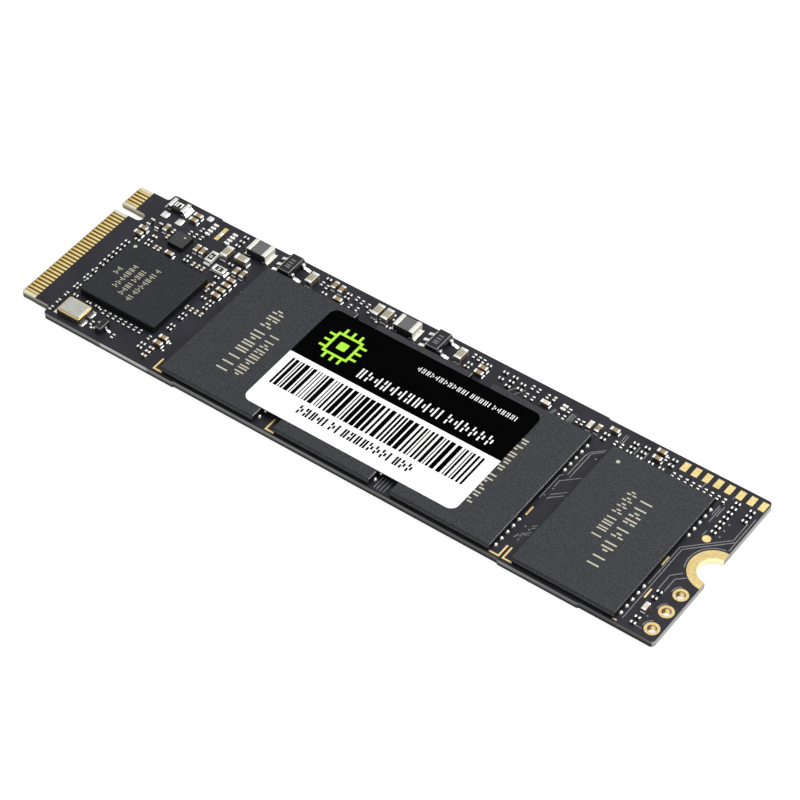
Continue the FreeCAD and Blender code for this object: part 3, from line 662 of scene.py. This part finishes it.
def dress_board():
    """Mask on the faces, laminate on the cut edges and the tongue, gold in the plated holes."""
    mesh = nodes["circuit_board"].data
    mesh.materials.clear()
    for material in BOARD_FINISHES:
        mesh.materials.append(material)
    holes = [(Vector((CARD_LENGTH, 0, 0)), SEAT_RADIUS)]
    for low, high in solids_of("header_eyelets"):
        holes.append(((low + high) / 2, HEADER_HOLE))
    for face in mesh.polygons:
        middle = FROM_FRAME @ face.center
        upright = abs(face.normal.z) < FACING
        in_hole = any((middle - axis).xy.length < radius + WALL_MARGIN for axis, radius in holes)
        if upright and in_hole:
            finish = SEAT_GOLD if abs(middle.y) < SEAT_RADIUS + CARD_MARGIN else HOLE_GOLD
        elif upright and middle.x < NOTCH_DEPTH and NOTCH_SIDES[0] < middle.y < NOTCH_SIDES[1]:
            finish = NOTCH_WALL
        elif middle.x < TONGUE_LENGTH - CARD_MARGIN and (upright or face.normal.x < BEVEL_TILT):
            finish = TONGUE_EDGE
        # Painted light: the far end's cut edge takes the lit copy of the laminate.
        elif upright and face.normal.x > FACING and middle.x > CARD_LENGTH / 2:
            finish = END_LAMINATE
        elif upright and middle.y < NEAR_EDGE / 2:
            finish = NEAR_LAMINATE
        elif upright:
            finish = LAMINATE
        elif middle.x < BARE_TONGUE:
            finish = BARE
        else:
            finish = MASK
        face.material_index = BOARD_FINISHES.index(finish)


# Chip parts with another finish than the rest of their node, by the rectangles of card they stand on
ODD_BODIES = {
    "series_resistor_bodies": (
        (WHITE_CERAMIC, ((10.4, 11.1, 7.9, 9.95), (13.0, 13.7, 7.9, 9.95), (55.8, 56.5, 8.9, 9.8))),
        (TAN_CERAMIC, ((16.4, 17.1, -10.1, -8.3),)),
    ),
    "bypass_capacitor_bodies": (
        (PALE_CERAMIC, ((53.5, 54.8, 8.2, 9.0), (59.2, 60.15, 8.0, 9.3), (76.8, 77.5, -8.1, -7.4))),
    ),
}


def dress_odd_bodies():
    for node, looks in ODD_BODIES.items():
        mesh = nodes[node].data
        for material, places in looks:
            mesh.materials.append(material)
            for face in mesh.polygons:
                middle = FROM_FRAME @ face.center
                if any(x0 < middle.x < x1 and y0 < middle.y < y1 for x0, x1, y0, y1 in places):
                    face.material_index = len(mesh.materials) - 1


# Shapes of the added pieces, each closed
SINK = 0.005  # how far they reach into the card
CORNER_STEPS = 3
DOME_LEVELS = 4
DOME_TURN = math.radians(84)
RIDGE_TOP = 0.55  # share of a ridge's width
MITRE_LIMIT = 0.5
FILLET_STEPS = 4
FILLET_SINK = 0.02  # how far fillets reach into the card and the terminal
FILLET_FLARE = 0.12  # share by which they widen towards their foot
FILLET_WIDTH = 0.46  # half width, as a share of the terminal's


def prism(bm, outline, low, high):
    """A plate with a flat outline, listed anticlockwise, between two heights."""
    under = [bm.verts.new((x, y, low)) for x, y in outline]
    over = [bm.verts.new((x, y, high)) for x, y in outline]
    bm.faces.new(list(reversed(under)))
    bm.faces.new(over)
    for i in range(len(outline)):
        j = (i + 1) % len(outline)
        bm.faces.new((under[i], under[j], over[j], over[i]))


def arc(x, y, radius, start, end, steps):
    """Points along an arc, its ends given in degrees."""
    turns = [math.radians(start + (end - start) * k / steps) for k in range(steps + 1)]
    return [(x + radius * math.cos(a), y + radius * math.sin(a)) for a in turns]


def circle(x, y, radius, sides):
    return arc(x, y, radius, 0, 360, sides)[:-1]


def rectangle(x0, x1, y0, y1, corner=0.0):
    """Outline of a rectangle, its corners rounded where a radius is given."""
    if corner <= 0:
        return [(x0, y0), (x1, y0), (x1, y1), (x0, y1)]
    outline = arc(x1 - corner, y1 - corner, corner, 0, 90, CORNER_STEPS)
    outline += arc(x0 + corner, y1 - corner, corner, 90, 180, CORNER_STEPS)
    outline += arc(x0 + corner, y0 + corner, corner, 180, 270, CORNER_STEPS)
    return outline + arc(x1 - corner, y0 + corner, corner, 270, 360, CORNER_STEPS)


def slab(bm, x0, x1, y0, y1, low, high, corner=0.0):
    """A rectangular plate."""
    prism(bm, rectangle(x0, x1, y0, y1, corner), low, high)


def window(bm, x, y, half, line, low, high):
    """A square plate with a square opening, its rim as wide as line."""
    loops = []
    for reach in (half, half - line):
        outline = rectangle(x - reach, x + reach, y - reach, y + reach)
        loops.append([[bm.verts.new((*p, z)) for p in outline] for z in (low, high)])
    (outer_low, outer_high), (inner_low, inner_high) = loops
    for i in range(4):
        j = (i + 1) % 4
        bm.faces.new((outer_low[i], outer_low[j], outer_high[j], outer_high[i]))
        bm.faces.new((inner_low[j], inner_low[i], inner_high[i], inner_high[j]))
        bm.faces.new((outer_high[i], outer_high[j], inner_high[j], inner_high[i]))
        bm.faces.new((outer_low[j], outer_low[i], inner_low[i], inner_low[j]))


def dome(bm, outline, height, draw_in=1.0):
    """Solder on a land: rings of its outline, drawn in towards the middle as they rise from the card."""
    count = len(outline)
    middle = Vector((sum(x for x, y in outline) / count, sum(y for x, y in outline) / count))
    rings = []
    for step in range(DOME_LEVELS + 1):
        turn = DOME_TURN * step / DOME_LEVELS
        share = 1 - draw_in * (1 - math.cos(turn))
        z = TOP - SINK + height * math.sin(turn)
        rings.append([bm.verts.new((*(middle + (Vector(p) - middle) * share), z)) for p in outline])
    bm.faces.new(list(reversed(rings[0])))
    bm.faces.new(rings[-1])
    for lower, upper in zip(rings, rings[1:]):
        for k in range(count):
            j = (k + 1) % count
            bm.faces.new((lower[k], lower[j], upper[j], upper[k]))


def ridge(bm, points, width, height):
    """A low ridge on the card along a line of points, narrower on top, with mitred corners."""
    low = TOP - SINK
    path = [Vector((*p, 0)) for p in points]
    sections = []
    for i, p in enumerate(path):
        before = (p - path[i - 1]).normalized() if i else None
        after = (path[i + 1] - p).normalized() if i + 1 < len(path) else None
        ahead = ((before or after) + (after or before)).normalized()
        side = Vector((-ahead.y, ahead.x, 0))
        reach = width / 2 / max(MITRE_LIMIT, ahead.dot(after or before))
        section = []
        for share, z in ((-1, low), (1, low), (RIDGE_TOP, low + height), (-RIDGE_TOP, low + height)):
            section.append(bm.verts.new(p + side * reach * share + Vector((0, 0, z))))
        sections.append(section)
    bm.faces.new(sections[0])
    bm.faces.new(list(reversed(sections[-1])))
    for a, b in zip(sections, sections[1:]):
        for k in range(4):
            j = (k + 1) % 4
            bm.faces.new((a[j], a[k], b[k], b[j]))


def fillet(bm, foot, across, along, half_width, rise, reach):
    """Solder that climbs a terminal: a concave wedge from the card up the terminal's end."""
    profile = [(-FILLET_SINK, -FILLET_SINK), (reach, -FILLET_SINK)]
    for k in range(FILLET_STEPS + 1):
        share = k / FILLET_STEPS
        profile.append((reach * (1 - share), rise * share * share))
    profile.append((-FILLET_SINK, rise))
    sides = []
    for sign in (-1, 1):
        row = []
        for out, z in profile:
            flare = half_width * (1 + FILLET_FLARE * max(0, out) / reach)
            row.append(bm.verts.new(foot + along * out + across * sign * flare + Vector((0, 0, z))))
        sides.append(row)
    bm.faces.new(sides[0])
    bm.faces.new(list(reversed(sides[1])))
    for k in range(len(profile)):
        j = (k + 1) % len(profile)
        bm.faces.new((sides[0][j], sides[0][k], sides[1][k], sides[1][j]))


def piece(name, bm, material):
    """Turns the gathered shapes into one piece that rides on the card."""
    bmesh.ops.recalc_face_normals(bm, faces=bm.faces)
    bm.transform(TO_FRAME)
    mesh = bpy.data.meshes.new(name)
    bm.to_mesh(mesh)
    bm.free()
    mesh.materials.append(material)
    mesh.shade_smooth()
    mesh.set_sharp_from_angle(angle=SHARP_ANGLE)
    made = bpy.data.objects.new(name, mesh)
    bpy.context.scene.collection.objects.link(made)
    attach(made, "root")


# Soldered parts and those with clips: bodies, terminals, how high the solder climbs and how far it runs out
SOLDERED = (
    ("bulk_capacitor_bodies", "bulk_capacitor_terminals", 0.08, 0.06),
    ("bypass_capacitor_bodies", "bypass_capacitor_terminals", 0.06, 0.06),
    ("bias_resistor_bodies", "bias_resistor_terminals", 0.06, 0.06),
    ("chip_resistor_bodies", "chip_resistor_clips", 0.14, 0.2),
    ("fuse_body", "fuse_clips", 0.34, 0.42),
    ("regulator_1_body", "regulator_1_leads", 0.12, 0.48),
    ("regulator_2_body", "regulator_2_leads", 0.12, 0.48),
    ("transistor_body", "transistor_leads", 0.1, 0.22),
)
CLIP_SOLDERED = (
    ("inductor_1_body", "inductor_1_clips", 0.03, 0.34),
    ("inductor_2_body", "inductor_2_clips", 0.03, 0.3),
)


def carrier_middle(place, bodies):
    """Middle of the body that lies nearest to a terminal's middle."""
    return min(((low + high) / 2 for low, high in bodies), key=lambda middle: (middle - place).length)


def make_solder(name, parts, material):
    bm = bmesh.new()
    for body_node, terminal_node, rise, reach in parts:
        bodies = solids_of(body_node)
        for low, high in solids_of(terminal_node):
            middle, size = (low + high) / 2, high - low
            out = middle - carrier_middle(middle, bodies)
            lengthwise = abs(out.x) > abs(out.y)
            sign = math.copysign(1, out.x if lengthwise else out.y)
            along = Vector((sign, 0, 0)) if lengthwise else Vector((0, sign, 0))
            across = Vector((-along.y, along.x, 0))
            depth = size.x if lengthwise else size.y
            width = size.y if lengthwise else size.x
            foot = Vector((middle.x, middle.y, TOP)) + along * depth / 2
            fillet(bm, foot, across, along, width * FILLET_WIDTH, rise, reach)
    piece(name, bm, material)


# Solder on lands with nothing fitted and on plated-through dots
LAND_HEIGHT = 0.09
LAND_CORNER = 0.15
LAND_DRAW_IN = 0.6
BARE_LANDS = (
    (4.6, 5.5, 7.55, 8.5),
    (6.65, 7.5, 7.5, 8.5),
    (9.1, 9.8, 9.9, 10.65),
    (8.4, 8.78, -8.85, -7.9),
    (8.4, 8.78, -10.32, -9.35),
    (11.68, 12.08, 8.75, 9.4),
)
DOT_HEIGHT = 0.04
DOT_RADIUS = 0.14
DOT_SIDES = 10
DOTS = (
    (17.7, -6.8), (17.75, -8.0), (56.05, 8.45),
    (33.2, 8.2), (34.3, 10.1), (34.5, 9.5),
    (4.3, -2.65), (4.5, -4.8), (9.5, -9.8), (8.65, -7.15),
)


def make_lands():
    bm = bmesh.new()
    for x0, x1, y0, y1 in BARE_LANDS:
        dome(bm, rectangle(x0, x1, y0, y1, LAND_CORNER), LAND_HEIGHT, LAND_DRAW_IN)
    for x, y in DOTS:
        dome(bm, circle(x, y, DOT_RADIUS, DOT_SIDES), DOT_HEIGHT)
    piece("tinned_lands", bm, TIN)


# Outer solder balls of the memory packages, in two groups of five along both long sides
BALL_ROWS = (-8.0, -7.0, -6.0, -5.0, -4.0, 4.0, 5.0, 6.0, 7.0, 8.0)
BALL_OUTSET = 0.1
BALL_RADIUS = 0.26
BALL_HEIGHT = 0.25
BALL_SIDES = 14
MEMORY_NODES = ("memory_chip_1", "memory_chip_2", "memory_chip_3", "memory_chip_4")


def make_balls():
    bm = bmesh.new()
    for node in MEMORY_NODES:
        low, high = box_mm(node)
        for row in BALL_ROWS:
            y = (low.y + high.y) / 2 + row
            for x in (low.x - BALL_OUTSET, high.x + BALL_OUTSET):
                dome(bm, circle(x, y, BALL_RADIUS, BALL_SIDES), BALL_HEIGHT)
    piece("solder_balls", bm, TIN)


# Copper tracks, rims of openings and vias that show through the mask; the rims are raised steps in the mask,
# drawn pale only along the stretch of arc that catches the light, as a painted highlight.
TRACK_WIDTH = 0.12
TRACK_HEIGHT = 0.03
TRACKS = (
    ((75.62, -5.0), (75.62, 0.7), (79.4, 4.45), (79.4, 7.0)),
    ((75.93, -10.0), (75.93, 0.55), (79.75, 4.35), (79.75, 8.0)),
    ((79.75, 4.2), (79.75, 3.0)),
    ((76.75, -4.9), (76.75, -2.9), (77.65, -1.95)),
    ((77.4, -4.9), (77.4, -3.05), (78.3, -2.2)),
    ((75.9, 6.0), (75.9, 7.5)),
    ((76.15, 5.0), (76.15, 7.2)),
    ((76.38, 6.1), (76.38, 7.6)),
    ((76.55, 3.25), (76.6, 4.0)),
    ((61.42, 2.1), (61.42, 5.2), (61.6, 5.9), (62.8, 7.1)),
    ((61.8, 1.9), (61.8, 5.8), (62.8, 6.8)),
    ((61.22, 0.0), (61.22, 1.0), (62.8, 2.5)),
    ((61.15, 1.95), (60.85, 1.65), (60.85, -2.0)),
    ((61.5, -1.05), (62.75, 0.15)),
    ((61.58, -1.75), (61.58, -1.5), (62.75, -0.4)),
    ((62.4, -5.5), (62.85, -5.15)),
    ((62.5, -5.8), (62.85, -5.5)),
    ((62.05, -6.95), (62.85, -6.2)),
    ((62.3, -6.95), (62.85, -6.6)),
    ((61.9, -7.1), (61.72, -7.7)),
    ((62.25, -7.55), (62.3, -7.9)),
    ((46.75, -10.5), (46.75, -8.9)),
    ((47.1, -10.5), (47.1, -8.9)),
    ((47.5, -10.5), (47.5, -8.9)),
    ((47.9, -10.5), (47.9, -8.9)),
    ((57.2, 8.0), (57.2, 9.3)),
    ((57.4, 8.0), (57.4, 9.3)),
    ((57.65, 8.0), (57.65, 9.3)),
    ((55.2, 8.0), (55.4, 8.8)),
    ((55.4, 8.0), (55.6, 8.8)),
    ((56.05, 8.45), (56.3, 8.1)),
    ((63.3, 8.7), (63.3, 10.0)),
    ((63.55, 8.7), (63.55, 10.0)),
    ((65.3, 8.2), (65.3, 9.4)),
    ((66.4, 8.2), (66.4, 9.2)),
    ((50.0, 8.0), (50.7, 9.2)),
    ((50.8, 8.0), (51.5, 9.2)),
    ((73.2, 9.2), (73.2, 8.4)),
    ((76.5, 9.2), (76.5, 8.9)),
    ((77.3, -10.0), (78.1, -10.0)),
)
# Painted highlight: each rim is a pale arc on the stretch that catches the light, not a full ring
SEAT_RIM = (SEAT_RADIUS + 1.2, 98, 205, 24)  # radius, first and last angle, steps
EYELET_RIM = (HEADER_LAND + 0.17, 115, 190, 12)
VIA_HEIGHT = 0.03
VIA_RADIUS = 0.11
VIAS = (
    (61.3, -0.25), (61.05, -1.4), (61.88, -5.9), (62.42, -6.05), (62.15, -7.2), (62.55, 5.5),
    (77.75, -8.4), (78.0, 4.95), (78.0, 5.9), (78.05, 4.05), (76.1, 7.85),
)


def track_finish():
    """Solder mask over copper, paler and glossier than on the rest of the card."""
    made = Finish("mask_over_copper", specular=0.45)
    made.tones(0.4, (0.12, 0.12, 0.13), (0.22, 0.22, 0.235))
    return made.polish(0.3, 0.28, 0.4).material


def make_tracks():
    bm = bmesh.new()
    for points in TRACKS:
        ridge(bm, points, TRACK_WIDTH, TRACK_HEIGHT)
    ridge(bm, arc(CARD_LENGTH, 0, *SEAT_RIM), TRACK_WIDTH, TRACK_HEIGHT)
    for low, high in solids_of("header_eyelets"):
        if low.z > TOP / 2:
            middle = (low + high) / 2
            ridge(bm, arc(middle.x, middle.y, *EYELET_RIM), TRACK_WIDTH, TRACK_HEIGHT)
    for x, y in VIAS:
        dome(bm, circle(x, y, VIA_RADIUS, DOT_SIDES), VIA_HEIGHT)
    piece("tracks", bm, track_finish())


# Gold marks that lie on the card beside the packages
MARK_HEIGHT = 0.01
GOLD_MARKS = ((75.15, 75.65, -10.63, -10.47), (15.52, 15.68, 1.8, 2.5))


def make_gold_marks():
    bm = bmesh.new()
    for x0, x1, y0, y1 in GOLD_MARKS:
        slab(bm, x0, x1, y0, y1, TOP - SINK, TOP + MARK_HEIGHT)
    piece("gold_marks", bm, MARK_GOLD)


# Printing: tally strokes that spell nothing, as boxes in a cell one unit long and one unit high
INK = 0.004
INK_SINK = INK / 4
TALLY = (
    ((0.1, 0.28, 0.0, 1.0),),
    ((0.1, 0.28, 0.0, 1.0), (0.5, 0.68, 0.0, 1.0)),
    ((0.1, 0.28, 0.0, 0.42), (0.1, 0.28, 0.58, 1.0), (0.5, 0.68, 0.0, 1.0)),
    ((0.1, 0.28, 0.0, 0.42), (0.1, 0.28, 0.58, 1.0), (0.5, 0.68, 0.29, 0.71)),
    ((0.1, 0.28, 0.29, 0.71), (0.5, 0.68, 0.0, 1.0)),
)


def tally_line(bm, start, end, low_side, high_side, z, pitch, lengthwise, rng, bold=1.0):
    """A line of tally strokes from start to end, along the card or across it, bold times as wide."""
    height = high_side - low_side
    for cell in range(int((end - start) / pitch)):
        for a0, a1, b0, b1 in rng.choice(TALLY):
            along = [start + (cell + a) * pitch for a in (a0, a0 + bold * (a1 - a0))]
            across = [low_side + b * height for b in (b0, b1)]
            if lengthwise:
                slab(bm, *along, *across, z, z + INK)
            else:
                slab(bm, *across, *along, z, z + INK)


# The label's print, from its near left corner: bars of a code that holds nothing, then lines of strokes
# with their two ends, two sides, pitch and boldness
LABEL_SEED = 7
BAR_ENDS = (0.9, 1.4)
BAR_SIDES = (3.25, 7.45)
BAR_WIDTHS = (0.14, 0.28, 0.28, 0.42, 0.54)
BAR_GAPS = (0.14, 0.18, 0.18, 0.26)
BLACK_LINES = ((5.6, 20.2, 1.45, 2.65, 0.8, 1.7),)
WHITE_LINES = ((12.2, 25.3, 13.35, 14.0, 0.55, 1.0), (7.6, 25.4, 9.0, 10.4, 1.0, 1.0))


def make_label_print():
    rng = random.Random(LABEL_SEED)
    z = label_high.z - INK_SINK
    left, near = label_low.x, label_low.y
    bars = bmesh.new()
    place = left + BAR_ENDS[0]
    while place < label_high.x - BAR_ENDS[1]:
        width = rng.choice(BAR_WIDTHS)
        slab(bars, place, place + width, near + BAR_SIDES[0], near + BAR_SIDES[1], z, z + INK)
        place += width + rng.choice(BAR_GAPS)
    lines = bmesh.new()
    for bm, rows in ((bars, BLACK_LINES), (lines, WHITE_LINES)):
        for x0, x1, y0, y1, pitch, bold in rows:
            tally_line(bm, left + x0, left + x1, near + y0, near + y1, z, pitch, True, rng, bold)
    piece("label_bars", bars, BLACK_INK)
    piece("label_lines", lines, WHITE_INK)
    make_label_motif(left + MOTIF_PLACE[0], near + MOTIF_PLACE[1], z)


# The label's motif: the plain outline of a chip seen from above, with three pins on each side
MOTIF_PLACE = (4.1, 11.6)
MOTIF_HALF = 1.6
MOTIF_LINE = 0.3
MOTIF_PIN = 0.75
PIN_PITCH = 0.95
CORE_HALF = 0.55
CORE_CORNER = 0.15


def make_label_motif(x, y, z):
    bm = bmesh.new()
    half, line = MOTIF_HALF, MOTIF_LINE
    window(bm, x, y, half, line, z, z + INK)
    slab(bm, x - CORE_HALF, x + CORE_HALF, y - CORE_HALF, y + CORE_HALF, z, z + INK, CORE_CORNER)
    for k in (-1, 0, 1):
        middle = k * PIN_PITCH
        for side in (-1, 1):
            near_end = half if side > 0 else -half - MOTIF_PIN
            far_end = near_end + MOTIF_PIN
            slab(bm, x + near_end, x + far_end, y + middle - line / 2, y + middle + line / 2, z, z + INK)
            slab(bm, x + middle - line / 2, x + middle + line / 2, y + near_end, y + far_end, z, z + INK)
    piece("label_motif", bm, GREEN_INK)


# Pale marks on the packages: lines of strokes from the middle of each package, with their two sides, two ends
# and pitch, and pin-one dots from its far left corner, with their radius
PACKAGE_SEED = 11
PACKAGE_LINES = {
    "controller_chip": (
        (-3.8, -3.1, -0.6, 0.6, 0.55),
        (-2.6, -1.9, -2.2, 1.7, 0.55),
        (-1.4, -0.7, -2.7, 2.2, 0.55),
        (-0.2, 0.5, -3.0, 2.5, 0.55),
    ),
    "memory_chip_1": ((-1.45, -0.05, -5.7, 5.5, 1.05), (0.45, 1.6, -5.4, 2.2, 0.9)),
    "memory_chip_3": ((0.1, 1.5, -5.7, 5.5, 1.05),),
    "memory_chip_4": ((0.25, 1.6, -5.3, 5.6, 1.05), (-1.4, -0.3, -2.0, 5.4, 0.9)),
}
PIN_ONE_DOTS = (
    ("controller_chip", 0.75, 0.75, 0.22),
    ("memory_chip_4", 1.6, 1.6, 0.22),
    ("power_chip", 1.3, 0.55, 0.12),
)
PIN_ONE_SIDES = 16


def make_package_print():
    rng = random.Random(PACKAGE_SEED)
    bm = bmesh.new()
    for node, lines in PACKAGE_LINES.items():
        low, high = box_mm(node)
        x, y, z = (low.x + high.x) / 2, (low.y + high.y) / 2, high.z - INK_SINK
        for x0, x1, y0, y1, pitch in lines:
            tally_line(bm, y + y0, y + y1, x + x0, x + x1, z, pitch, False, rng)
    for node, from_left, from_far, radius in PIN_ONE_DOTS:
        low, high = box_mm(node)
        outline = circle(low.x + from_left, high.y - from_far, radius, PIN_ONE_SIDES)
        prism(bm, outline, high.z - INK_SINK, high.z + INK)
    piece("package_print", bm, CREAM_INK)


# Plain strokes on the fuse and on each chip resistor, from the middle of the part
FUSE_STROKES = (
    (-0.5, -0.35, -0.35, 0.35),
    (-0.2, -0.05, -0.35, 0.35),
    (0.3, 0.45, -0.35, 0.35),
    (-0.05, 0.3, 0.18, 0.33),
)
COAT_STROKES = ((-0.14, 0.14, -0.2, -0.1), (-0.14, 0.14, 0.02, 0.12))


def make_part_print():
    low, high = box_mm("fuse_clips")
    marked = [(low, high, box_mm("fuse_body")[1].z, FUSE_STROKES)]
    for low, high in solids_of("chip_resistor_coats"):
        marked.append((low, high, high.z, COAT_STROKES))
    bm = bmesh.new()
    for low, high, top, strokes in marked:
        x, y, z = (low.x + high.x) / 2, (low.y + high.y) / 2, top - INK_SINK
        for x0, x1, y0, y1 in strokes:
            slab(bm, x + x0, x + x1, y + y0, y + y1, z, z + INK)
    piece("part_print", bm, WHITE_INK)


# Pale floor and soft studio light: name, place in metres, size and watts
FLOOR_HALF = 2.0
FLOOR_GLOW = 0.86
FLOOR_DROP = 0.0001
SKY_STRENGTH = 0.8
LIGHTS = (("key", (0.15, 0.3, 0.8), 0.5, 4), ("rim", (0.63, 0.5, 0.44), 0.25, 3))


def make_floor():
    made = Finish("floor", roughness=0.8, specular=0.1)
    made.tones(400, (0.19, 0.19, 0.19), (0.21, 0.21, 0.21))
    made.shader.inputs["Emission Color"].default_value = (1, 1, 1, 1)
    made.shader.inputs["Emission Strength"].default_value = FLOOR_GLOW
    bm = bmesh.new()
    corners = ((-1, -1), (1, -1), (1, 1), (-1, 1))
    bm.faces.new([bm.verts.new((x * FLOOR_HALF, y * FLOOR_HALF, -FLOOR_DROP)) for x, y in corners])
    mesh = bpy.data.meshes.new("floor")
    bm.to_mesh(mesh)
    bm.free()
    mesh.materials.append(made.material)
    floor = bpy.data.objects.new("floor", mesh)
    bpy.context.scene.collection.objects.link(floor)


def make_light(name, place, size, watts):
    data = bpy.data.lights.new(name, "AREA")
    data.shape = "DISK"
    data.size = size
    data.energy = watts
    light = bpy.data.objects.new(name, data)
    light.location = place
    light.rotation_mode = "QUATERNION"
    light.rotation_quaternion = (-Vector(place)).to_track_quat("-Z", "Y")
    bpy.context.scene.collection.objects.link(light)


def make_studio():
    scene = bpy.context.scene
    scene.view_settings.view_transform = "Standard"
    world = bpy.data.worlds.new("studio")
    world.use_nodes = True
    background = world.node_tree.nodes["Background"]
    background.inputs["Color"].default_value = (1, 1, 1, 1)
    background.inputs["Strength"].default_value = SKY_STRENGTH
    scene.world = world
    for name, place, size, watts in LIGHTS:
        make_light(name, place, size, watts)


make_camera()
dress_nodes()
dress_board()
dress_odd_bodies()
make_solder("part_solder", SOLDERED, TIN)
make_solder("clip_solder", CLIP_SOLDERED, CLIP_TIN)
make_lands()
make_balls()
make_tracks()
make_gold_marks()
make_label_print()
make_package_print()
make_part_print()
make_floor()
make_studio()
